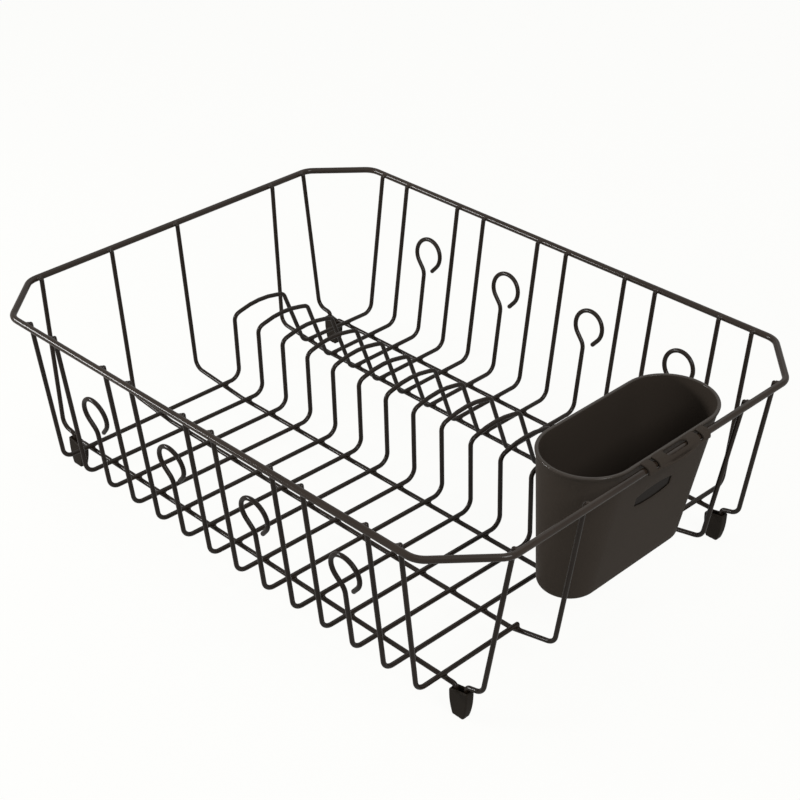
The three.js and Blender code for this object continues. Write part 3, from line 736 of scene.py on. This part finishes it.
# ---------- Shapes from distance fields ----------
def field_mesh(low, high, step, evaluate):
    """Vertices and quads of the zero surface of a distance field, a function of x, y and z arrays. Each cell
    that the surface crosses has one vertex, at the middle of its crossings."""
    axes = [np.arange(a, b + step, step) for a, b in zip(low, high)]
    value = evaluate(*np.meshgrid(*axes, indexing="ij"))
    inside = value < 0
    shape = np.array(value.shape) - 1
    crossings = np.zeros((*shape, 3))
    weight = np.zeros(shape)
    for axis in range(3):
        lower = [slice(None)] * 3
        upper = [slice(None)] * 3
        lower[axis] = slice(None, -1)
        upper[axis] = slice(1, None)
        a, b = value[tuple(lower)], value[tuple(upper)]
        cut = (a < 0) != (b < 0)
        share = np.where(cut, a / np.where(cut, a - b, 1), 0)
        rest = [k for k in range(3) if k != axis]
        for i in (0, 1):
            for j in (0, 1):
                window = [slice(None)] * 3
                window[rest[0]] = slice(i, i + shape[rest[0]])
                window[rest[1]] = slice(j, j + shape[rest[1]])
                here = cut[tuple(window)]
                crossings[..., axis] += np.where(here, share[tuple(window)], 0)
                crossings[..., rest[0]] += np.where(here, i, 0)
                crossings[..., rest[1]] += np.where(here, j, 0)
                weight += here
    active = weight > 0
    index = np.full(shape, -1)
    index[active] = np.arange(active.sum())
    cells = np.argwhere(active)
    vertices = np.array(low) + (cells + crossings[active] / weight[active][:, None]) * step
    faces = []
    for axis in range(3):
        rest = [(axis + 1) % 3, (axis + 2) % 3]
        lower = [slice(1, -1)] * 3
        upper = [slice(1, -1)] * 3
        lower[axis] = slice(None, -1)
        upper[axis] = slice(1, None)
        a, b = inside[tuple(lower)], inside[tuple(upper)]
        for cell in np.argwhere(a != b):
            place = cell.copy()
            place[rest[0]] += 1
            place[rest[1]] += 1
            ring = []
            for i, j in ((0, 0), (1, 0), (1, 1), (0, 1)):
                corner = place.copy()
                corner[rest[0]] -= i
                corner[rest[1]] -= j
                ring.append(int(index[tuple(corner)]))
            faces.append(tuple(ring if a[tuple(cell)] else ring[::-1]))
    return vertices, faces


def smooth_cut(a, b, k):
    """a with b taken away, its edges rounded by k."""
    return -smooth_union(-a, b, k)


def rounded_meet(distances, radius):
    """What lies inside all of the distances, its outer edges rounded by radius."""
    grown = [distance + radius for distance in distances]
    outside = np.sqrt(sum(np.clip(distance, 0, None) ** 2 for distance in grown))
    inside = np.clip(np.maximum.reduce(grown), None, 0)
    return outside + inside - radius


# ---------- Feet ----------
FOOT_STEP = 0.32  # size of the field's cells
FOOT_THICKNESS = WIRE + 2 * (GAP + FOOT_CHEEK)
FOOT_ROUND = 1.0  # rounding of the boot's outer edges
FOOT_CURVE = 2.4  # power of the curve by which the ends draw in towards the sole
CHEEK_DRAFT = 0.35  # the cheeks draw in by this towards the sole
POCKET_HALF_WIDTH = DIP_HALF_SPAN + WIRE / 2 + GAP
POCKET_GAP = 0.6 * GAP  # between the wire and the pocket's sides
POCKET_EDGE = 0.8  # rounding of the pocket's edge
GROOVE_START = 20.0  # where the row of grooves in the sole starts, along -X
GROOVE_PITCH = 3.2
GROOVE_HALF_WIDTH = 0.45
GROOVE_DEPTH = 0.5


def foot_field(x, y, z):
    """A soft boot, x outward: a sloping mouth, cheeks that curve in and a narrow grooved sole."""
    mouth = POCKET_HALF_WIDTH + FOOT_WALL
    share = np.clip(z / FOOT_INNER_HEIGHT, 0, 1)
    half = mouth - FOOT_TAPER * (1 - share) ** FOOT_CURVE
    middle = (FOOT_INNER_HEIGHT + FOOT_OUTER_HEIGHT) / 2
    slope = (FOOT_OUTER_HEIGHT - FOOT_INNER_HEIGHT) / (2 * mouth)
    top = (z - middle - slope * x) / math.sqrt(1 + slope * slope)
    thin = FOOT_THICKNESS / 2 - CHEEK_DRAFT * (1 - share) ** 2
    boot = rounded_meet([np.abs(x) - half, np.abs(y) - thin, np.maximum(top, -z)], FOOT_ROUND)
    across = np.clip(np.abs(x) - (DIP_HALF_SPAN - DIP_BEND), 0, None)
    below = np.clip(DIP_BOTTOM + DIP_BEND - z, 0, None)
    bowl = np.sqrt(across**2 + below**2) - (DIP_BEND + WIRE / 2 + GAP)
    pocket = np.maximum(bowl, np.abs(y) - WIRE / 2 - POCKET_GAP)
    boot = smooth_cut(boot, pocket, POCKET_EDGE)
    groove = np.abs((x + GROOVE_START) % GROOVE_PITCH - GROOVE_PITCH / 2) - GROOVE_HALF_WIDTH
    return np.maximum(boot, -np.maximum(groove, z - GROOVE_DEPTH))


margin = 2 * FOOT_STEP
half_length = POCKET_HALF_WIDTH + FOOT_WALL + margin
foot_vertices, foot_faces = field_mesh(
    (-half_length, -FOOT_THICKNESS / 2 - margin, -margin),
    (half_length, FOOT_THICKNESS / 2 + margin, FOOT_OUTER_HEIGHT + margin),
    FOOT_STEP,
    foot_field,
)
for node, end, side in (
    ("foot_front_left", -1, -1),
    ("foot_front_right", 1, -1),
    ("foot_rear_left", -1, 1),
    ("foot_rear_right", 1, 1),
):
    placed = foot_vertices * (end, end, 1) + (foot_x(end), side * OUTER_LONG_FLOOR, 0)
    mesh_object(f"{node}_boot", placed, foot_faces, node, "rack", foot_plastic)


# ---------- Cutlery cup ----------
ARC_STEPS = 40  # of each half circle
STRAIGHT_STEPS = 14  # of each straight side
WALL_ROWS = 14
BOTTOM_STEPS = 8
BEAD_STEPS = 5
FLOOR_STEPS = 7
LIP_OUTER_POINTS = 7
LIP_INNER_POINTS = 6

MIDDLE_RADIUS = 3.0  # of the flat stretches under the cup and on its floor
BASE_HOLLOW = 0.5  # the underside is hollow by this
BASE_EDGE = ((3.4, BASE_HOLLOW), (2.6, 0.35), (2.1, 0.0))  # (inset from the bottom's round, height)
WALL_START = 6.0  # the wall's rows start this far above the bottom's round
BEAD_DROP = 3.6  # the bead under the lip starts this far down
BEAD_RUN = 1.5  # and is full after this much
LIP_OUTER_ROUND = 0.95
LIP_INNER_ROUND = 0.75
LIP_DEPTH = 3.0  # the inner wall's rows start this far down
LIP_POLISH = 1.1  # how far the polish of the lip reaches down
FLOOR_DISH = 0.15  # the floor's middle lies this much lower than its rim

MOULD_ROUND = 0.3  # of the recess's edges
CUTTER_FLARE = 1.6  # a cutter is this much wider outside the wall
CUTTER_RISE = 1.0  # and it ends this far outside
CUTTER_EASE = 0.05  # its mouth's rounding starts this far outside
DRAIN_EDGE = 0.5  # the slots open out by this at the floor's top
DRAIN_ROUNDNESS = 0.98  # of a half circle, at a slot's ends
DRAIN_ROWS = (  # (offset, height) from above the floor to below it
    (DRAIN_EDGE, 5),
    (DRAIN_EDGE, CUP_FLOOR + 0.1),
    (0.15, CUP_FLOOR - 0.15),
    (0, CUP_FLOOR - DRAIN_EDGE),
    (0, -2),
)
SHARP_ANGLE = math.radians(34)  # edges that turn more than this are shaded sharp


def stadium_ring(radius, lean, height):
    """One ring of the cup: two half circles joined by straight runs along Y."""
    ring = []
    for side in (1, -1):
        for k in range(ARC_STEPS + 1):
            angle = math.pi * k / ARC_STEPS + (0 if side > 0 else math.pi)
            ring.append((radius * math.cos(angle), side * CUP_HALF_STRAIGHT + radius * math.sin(angle)))
        for k in range(1, STRAIGHT_STEPS):
            ring.append((-side * radius, side * CUP_HALF_STRAIGHT * (1 - 2 * k / STRAIGHT_STEPS)))
    return [(CUP_X + lean + px, CUP_MIDDLE + py, CUP_BOTTOM + height) for px, py in ring]


def cup_radius(height):
    """The cup's outer radius at a height over its bottom."""
    return CUP_BOTTOM_RADIUS + (CUP_TOP_RADIUS - CUP_BOTTOM_RADIUS) * height / CUP_DEPTH


def arc(cx, cy, r, start, end, count):
    """Points of an arc in the profile's plane, angles in degrees."""
    angles = np.radians(np.linspace(start, end, count))
    return [(cx + r * math.cos(a), cy + r * math.sin(a)) for a in angles]


def cup_profile():
    """(radius, height) from the middle of the underside, up the wall, over the lip and down to the floor."""
    base = CUP_BOTTOM_RADIUS - CUP_BOTTOM_ROUND
    profile = [(MIDDLE_RADIUS, BASE_HOLLOW)]
    profile += [(base - inset, height) for inset, height in BASE_EDGE]
    for k in range(BOTTOM_STEPS + 1):
        angle = math.pi / 2 * k / BOTTOM_STEPS
        height = CUP_BOTTOM_ROUND * (1 - math.cos(angle))
        inset = CUP_BOTTOM_ROUND * (1 - math.sin(angle))
        profile.append((cup_radius(height) - inset, height))
    for height in np.linspace(CUP_BOTTOM_ROUND + WALL_START, CUP_DEPTH - BEAD_DROP, WALL_ROWS):
        profile.append((cup_radius(height), float(height)))
    for k in range(1, BEAD_STEPS + 1):
        share = k / BEAD_STEPS
        height = CUP_DEPTH - BEAD_DROP + BEAD_RUN * share
        step_out = CUP_BEAD * share * share * (3 - 2 * share)
        profile.append((cup_radius(height) + step_out, height))
    lip_out = CUP_TOP_RADIUS + CUP_BEAD - LIP_OUTER_ROUND
    lip_in = CUP_TOP_RADIUS - CUP_WALL + LIP_INNER_ROUND
    profile += arc(lip_out, CUP_DEPTH - LIP_OUTER_ROUND, LIP_OUTER_ROUND, 0, 90, LIP_OUTER_POINTS)
    profile += arc(lip_in, CUP_DEPTH - LIP_INNER_ROUND, LIP_INNER_ROUND, 90, 180, LIP_INNER_POINTS)
    floor_round = CUP_BOTTOM_ROUND - CUP_WALL
    for height in np.linspace(CUP_DEPTH - LIP_DEPTH, CUP_FLOOR + floor_round, WALL_ROWS):
        profile.append((cup_radius(height) - CUP_WALL, float(height)))
    for k in range(1, FLOOR_STEPS + 1):
        angle = math.pi / 2 * k / FLOOR_STEPS
        height = CUP_FLOOR + floor_round * (1 - math.sin(angle))
        profile.append((cup_radius(height) - CUP_WALL - floor_round * (1 - math.cos(angle)), height))
    profile.append((MIDDLE_RADIUS, CUP_FLOOR - FLOOR_DISH))
    return profile


def lofted(name, rings):
    """A closed solid through rings of equal counts, with flat ends."""
    sides = len(rings[0])
    faces = ring_faces(len(rings), sides)
    faces.append(tuple(reversed(range(sides))))
    faces.append(tuple((len(rings) - 1) * sides + k for k in range(sides)))
    return mesh_object(name, np.array(rings).reshape(-1, 3), faces)


def outline(corners, offset):
    """A closed rounded outline in a plane, from (x, y, bend) corners moved out by offset."""
    moved = []
    for x, y, bend in corners:
        ox = x + math.copysign(offset, x) if abs(x) > TINY else x
        oy = y + math.copysign(offset, y) if abs(y) > TINY else y
        moved.append((ox, oy, 0, bend + offset))
    points, _ = bent(moved, True, OUTLINE_STEPS)
    return points[:, :2]


def fix_normals(piece):
    """Turns all of a mesh's faces outwards."""
    mesh = bmesh.new()
    mesh.from_mesh(piece.data)
    bmesh.ops.recalc_face_normals(mesh, faces=mesh.faces)
    mesh.to_mesh(piece.data)
    mesh.free()


def carve(piece, cutters):
    """Takes each cutter away from the piece, whose own mesh then holds the result."""
    fix_normals(piece)
    for cutter in cutters:
        fix_normals(cutter)
        modifier = piece.modifiers.new("cut", "BOOLEAN")
        modifier.operation = "DIFFERENCE"
        modifier.solver = "EXACT"
        modifier.object = cutter
    bpy.context.view_layer.update()
    made = bpy.data.meshes.new_from_object(piece.evaluated_get(bpy.context.evaluated_depsgraph_get()))
    piece.modifiers.clear()
    piece.data = made
    for cutter in cutters:
        bpy.data.objects.remove(cutter)


def mould_edges(depth):
    """(offset, depth) rows of a cutter whose mouth and floor are rounded."""
    r = MOULD_ROUND
    rows = [(CUTTER_FLARE, -CUTTER_RISE), (r + CUTTER_EASE, -CUTTER_EASE)]
    rows += [(r - r * math.sin(a), r - r * math.cos(a)) for a in np.radians((15, 45, 70, 90))]
    rows += [(-r + r * math.cos(a), depth - r + r * math.sin(a)) for a in np.radians((0, 30, 60, 90))]
    return rows


# The cup's outer face leans out with height.
CUP_SLOPE = (CUP_TOP_RADIUS - CUP_BOTTOM_RADIUS + CUP_LEAN) / CUP_DEPTH
LEAN_ANGLE = math.atan(CUP_SLOPE)
FACE_UP = np.array([math.sin(LEAN_ANGLE), 0, math.cos(LEAN_ANGLE)])
FACE_OUT = np.array([math.cos(LEAN_ANGLE), 0, -math.sin(LEAN_ANGLE)])
BADGE_FACE = CUP_X + CUP_TOP_RADIUS - CUP_SLOPE * BADGE_DROP
BADGE_MIDDLE = np.array([BADGE_FACE, CUP_MIDDLE + BADGE_OFFSET, HOOK_TOP - BADGE_DROP])


def badge_cutter():
    """A cutter for the bare recess on the cup's outer face, with bowed long edges."""
    half, end = BADGE_LENGTH / 2, BADGE_END_HEIGHT / 2
    sagitta = BADGE_HEIGHT / 2 - end
    crown = end + 2 * sagitta
    bow = (half - 2 * BADGE_CORNER) / ((crown - end) / half)
    corners = [(-half, -end, BADGE_CORNER), (0, -crown, bow), (half, -end, BADGE_CORNER)]
    corners += [(half, end, BADGE_CORNER), (0, crown, bow), (-half, end, BADGE_CORNER)]
    rings = []
    for offset, depth in mould_edges(BADGE_DEPTH):
        level = BADGE_MIDDLE - FACE_OUT * depth
        rings.append([level + np.array([0, px, 0]) + FACE_UP * py for px, py in outline(corners, offset)])
    return lofted("badge_cutter", rings)


def drain_cutter(y):
    """A cutter for the drain slot at y."""
    half, width = DRAIN_LENGTH / 2, DRAIN_WIDTH / 2
    bend = width * DRAIN_ROUNDNESS
    corners = [(-half, -width, bend), (half, -width, bend), (half, width, bend), (-half, width, bend)]
    rings = []
    for offset, height in DRAIN_ROWS:
        level = CUP_BOTTOM + height
        rings.append([(CUP_X - CUP_LEAN + px, y + py, level) for px, py in outline(corners, offset)])
    return lofted("drain_cutter", rings)


def face_finish(centre):
    """The material of one of the cup's faces: satin walls, a polished lip, and a polished recess floor whose
    darker colour is painted shade.
    """
    place = centre - BADGE_MIDDLE
    depth = -place @ FACE_OUT
    in_outline = abs(place[1]) < BADGE_LENGTH / 2 and abs(place @ FACE_UP) < BADGE_HEIGHT / 2
    # faces on the recess floor get the colour that is darkened with painted shade
    if in_outline and BADGE_DEPTH / 2 < depth < BADGE_DEPTH + MOULD_ROUND:
        return recess_painted_shade_plastic
    return lip_plastic if centre[2] > HOOK_TOP - LIP_POLISH else cup_plastic


cup_rings = [stadium_ring(r, -CUP_LEAN * (1 - h / CUP_DEPTH), h) for r, h in cup_profile()]
cup = lofted("cutlery_cup_shell", cup_rings)
first_drain = CUP_MIDDLE - (DRAIN_COUNT - 1) / 2 * DRAIN_SPACING
drains = [drain_cutter(first_drain + k * DRAIN_SPACING) for k in range(DRAIN_COUNT)]
carve(cup, [badge_cutter(), *drains])
cup.data.polygons.foreach_set("use_smooth", [True] * len(cup.data.polygons))
cup.data.set_sharp_from_angle(angle=SHARP_ANGLE)
cup.data.materials.clear()
finishes = [cup_plastic, recess_painted_shade_plastic, lip_plastic]
for material in finishes:
    cup.data.materials.append(material)
for polygon in cup.data.polygons:
    polygon.material_index = finishes.index(face_finish(np.array(polygon.center) / MM))
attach(cup, "cutlery_cup")
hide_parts("cutlery_cup")

# ---------- The cup's hook ----------
HOOK_STEP = 0.34  # size of the field's cells
HOOK_INNER = RIM_WIRE / 2 + GAP
HOOK_OUTER = HOOK_INNER + HOOK_WALL
HOOK_ROOT = -(RIM_WIRE / 2 + CUP_STANDOFF + CUP_WALL / 2)
HOOK_EDGE = 0.45  # rounding of the hook's outer edges
HOOK_SINK = 0.02  # keeps the hook's top under the CAD's
TAB_WEB = 0.8  # thickness of the thumb tab inside its rolled edge
TAB_ROLL = 0.8  # radius of that edge
TAB_ROOT = 0.3  # the tab starts this far out from the skirt's inner face
TAB_CURVE = 0.8  # power of the curve of its edge
TAB_FILLET = 0.5  # between the tab and the skirt
SLIT_X = 1.1  # middle of a slit's cutter, out from the rim's centre
SLIT_REACH = 0.9  # its half length is this much more than the hook's outer radius
SLIT_Z = 6.0  # and up from it
SLIT_HALF_HEIGHT = SLIT_Z - 0.3
SLIT_HALF_WIDTH = SLIT_WIDTH / 2 + 0.1
SLIT_ROUND = 0.4  # the cutter is thicker by this all round
SLIT_EDGE = 0.5  # rounding of a slit's edges
HOLE_FLARE = 0.6  # the long hole opens out by this towards the top
HOLE_EDGE = 0.6  # rounding of its edges


def thumb_tab(x, y, z):
    """A thin crescent at the skirt's foot with a rolled edge."""
    half = THUMB_TAB_LENGTH / 2
    reach = HOOK_OUTER + THUMB_TAB_REACH * np.clip(1 - (y / half) ** 2, 0, 1) ** TAB_CURVE
    tab = np.maximum(x - reach, np.maximum(HOOK_INNER + TAB_ROOT - x, np.abs(y) - half))
    tab = np.maximum(tab, np.abs(z + HOOK_SKIRT - TAB_WEB / 2) - TAB_WEB / 2)
    roll = np.sqrt((x - reach + TAB_ROLL) ** 2 + (z + HOOK_SKIRT - TAB_ROLL) ** 2) - TAB_ROLL
    return np.minimum(tab, np.maximum(roll, np.abs(y) - half))


def slit_cutter(x, y, z, side):
    """A rounded block that parts the bridge and the skirt near one end of the hook."""
    centre = side * (HOOK_LENGTH / 2 - SLIT_INSET)
    along = np.abs(x - SLIT_X) - (HOOK_OUTER + SLIT_REACH)
    block = [along, np.abs(y - centre) - SLIT_HALF_WIDTH, np.abs(z - SLIT_Z) - SLIT_HALF_HEIGHT]
    return rounded_meet(block, 0) - SLIT_ROUND


def hook_field(x, y, z):
    """The hook about the rim's centre: a bridge with a skirt, a thumb tab, two slits and a long hole."""
    middle = (HOOK_INNER + HOOK_OUTER) / 2
    ring = np.sqrt(np.clip(x, 0, None) ** 2 + np.clip(z, 0, None) ** 2)
    away = np.where(z < 0, np.abs(x - middle), np.abs(ring - middle)) - HOOK_WALL / 2
    away = np.where(x < 0, np.abs(z - middle) - HOOK_WALL / 2, away)
    ends = np.maximum(np.abs(y) - HOOK_LENGTH / 2, np.maximum(HOOK_ROOT - x, -HOOK_SKIRT - z))
    hook = smooth_union(rounded_meet([away, ends], HOOK_EDGE), thumb_tab(x, y, z), TAB_FILLET)
    for side in (-1, 1):
        hook = smooth_cut(hook, slit_cutter(x, y, z, side), SLIT_EDGE)
    flare = HOLE_FLARE * np.clip((z - HOOK_INNER) / HOOK_WALL, 0, 1)
    run = np.clip(np.abs(y) - (HOOK_HOLE_LENGTH - HOOK_HOLE_WIDTH) / 2, 0, None)
    hole = np.maximum(np.sqrt(x * x + run * run) - HOOK_HOLE_WIDTH / 2 - flare, -z)
    return smooth_cut(hook, hole, HOLE_EDGE)


margin = 2 * HOOK_STEP
hook_vertices, hook_faces = field_mesh(
    (HOOK_ROOT - margin, -HOOK_LENGTH / 2 - margin, -HOOK_SKIRT - margin),
    (HOOK_OUTER + THUMB_TAB_REACH + margin, HOOK_LENGTH / 2 + margin, HOOK_OUTER + margin),
    HOOK_STEP,
    hook_field,
)
hook_vertices = hook_vertices + (RIM_HALF_LENGTH, CUP_MIDDLE, RIM_HEIGHT - HOOK_SINK)
mesh_object(
    "cutlery_cup_hook", hook_vertices, hook_faces, "cutlery_cup", "cutlery_cup", cup_plastic
)

# ---------- Floor and light ----------
FLOOR_SIZE = 12.0
FLOOR_COLOUR = (0.66, 0.66, 0.65, 1)
FLOOR_GLOW = 0.94  # the share of plain white in what seen rays show of the floor
WHITE = (1, 1, 0.985, 1)
AMBIENT = 0.4  # the world's strength for the rays that light things
SEEN_RAYS = ("Is Camera Ray", "Is Glossy Ray", "Is Transmission Ray")


def seen_ray(nodes, links):
    """1 for the rays that show the background and 0 for those that light things."""
    path = nodes.new("ShaderNodeLightPath")
    result = path.outputs[SEEN_RAYS[0]]
    for name in SEEN_RAYS[1:]:
        higher = nodes.new("ShaderNodeMath")
        higher.operation = "MAXIMUM"
        links.new(result, higher.inputs[0])
        links.new(path.outputs[name], higher.inputs[1])
        result = higher.outputs[0]
    return result


def floor_material():
    """A pale floor that shows nearly white and still keeps the object's shadow."""
    material = bpy.data.materials.new("studio_floor")
    material.use_nodes = True
    nodes, links = material.node_tree.nodes, material.node_tree.links
    shader = nodes["Principled BSDF"]
    shader.inputs["Base Color"].default_value = FLOOR_COLOUR
    shader.inputs["Roughness"].default_value = 0.9
    shader.inputs["Specular IOR Level"].default_value = 0.1
    glow = nodes.new("ShaderNodeEmission")
    glow.inputs["Color"].default_value = WHITE
    share = nodes.new("ShaderNodeMath")
    share.operation = "MULTIPLY"
    share.inputs[1].default_value = FLOOR_GLOW
    links.new(seen_ray(nodes, links), share.inputs[0])
    mixed = nodes.new("ShaderNodeMixShader")
    links.new(share.outputs[0], mixed.inputs["Fac"])
    links.new(shader.outputs["BSDF"], mixed.inputs[1])
    links.new(glow.outputs["Emission"], mixed.inputs[2])
    links.new(mixed.outputs["Shader"], nodes["Material Output"].inputs["Surface"])
    return material


floor_mesh = bpy.data.meshes.new("floor")
edge = FLOOR_SIZE / 2
floor_corners = [(-edge, -edge, 0), (edge, -edge, 0), (edge, edge, 0), (-edge, edge, 0)]
floor_mesh.from_pydata(floor_corners, [], [(0, 1, 2, 3)])
floor = bpy.data.objects.new("floor", floor_mesh)
floor.location.z = cad_box[0].z
bpy.context.scene.collection.objects.link(floor)
floor_mesh.materials.append(floor_material())

world = bpy.data.worlds.new("studio")
bpy.context.scene.world = world
world.use_nodes = True
nodes, links = world.node_tree.nodes, world.node_tree.links
background = nodes["Background"]
background.inputs["Color"].default_value = WHITE
strength = nodes.new("ShaderNodeMapRange")
strength.inputs["To Min"].default_value = AMBIENT
strength.inputs["To Max"].default_value = 1.0
links.new(seen_ray(nodes, links), strength.inputs["Value"])
links.new(strength.outputs["Result"], background.inputs["Strength"])


def softbox(name, place, target, size, power, roll=0.0):
    """A soft rectangular lamp at place that faces target, its long side turned by roll from level."""
    light = bpy.data.lights.new(name, "AREA")
    light.shape = "RECTANGLE"
    light.size, light.size_y = size
    light.energy = power
    lamp = bpy.data.objects.new(name, light)
    lamp.location = place
    lamp.rotation_mode = "QUATERNION"
    facing = (Vector(target) - Vector(place)).to_track_quat("-Z", "Y")
    lamp.rotation_quaternion = facing @ Quaternion((0, 0, 1), roll)
    bpy.context.scene.collection.objects.link(lamp)


softbox("softbox_back", place=(-0.3, 1.2, 1.5), target=(0, 0, 0.1), size=(1.5, 1.3), power=4.5)
softbox("softbox_top", place=(0.55, -0.35, 1.6), target=(0, 0, 0.1), size=(1.6, 1.6), power=5)
softbox("softbox_right", place=(1.364, -0.247, 1.28), target=(0.15, 0, 0.08), size=(0.7, 0.7), power=16)
softbox(
    "softbox_left",
    place=(-0.86, -0.76, 0.44),
    target=(-0.05, -0.05, 0.12),
    size=(0.6, 0.14),
    power=12,
    roll=math.radians(-28),
)

# ---------- Camera, at the photograph's viewing angle ----------
AZIMUTH = math.radians(44.74)
ELEVATION = math.radians(31.91)
ROLL = math.radians(0.19)
DISTANCE = 1184.96
PAN_X = 6.82
PAN_Y = 49.49
AIM_HEIGHT = 23.5
SENSOR = 36.0
FOCAL = 77.73
CLIP_END = 20.0

level = math.cos(ELEVATION)
back = Vector((math.sin(AZIMUTH) * level, -math.cos(AZIMUTH) * level, math.sin(ELEVATION)))
right = Vector((math.cos(AZIMUTH), math.sin(AZIMUTH), 0))
up = back.cross(right)
camera = bpy.data.objects.new("camera", bpy.data.cameras.new("camera"))
bpy.context.scene.collection.objects.link(camera)
rolled_right = right * math.cos(ROLL) + up * math.sin(ROLL)
rolled_up = up * math.cos(ROLL) - right * math.sin(ROLL)
camera.matrix_world = Matrix((rolled_right, rolled_up, back)).transposed().to_4x4()
camera.location = (back * DISTANCE + right * PAN_X + up * PAN_Y + Vector((0, 0, AIM_HEIGHT))) * MM
camera.data.sensor_width = SENSOR
camera.data.lens = FOCAL
camera.data.clip_end = CLIP_END
bpy.context.scene.camera = camera
bpy.context.scene.view_settings.view_transform = "Standard"
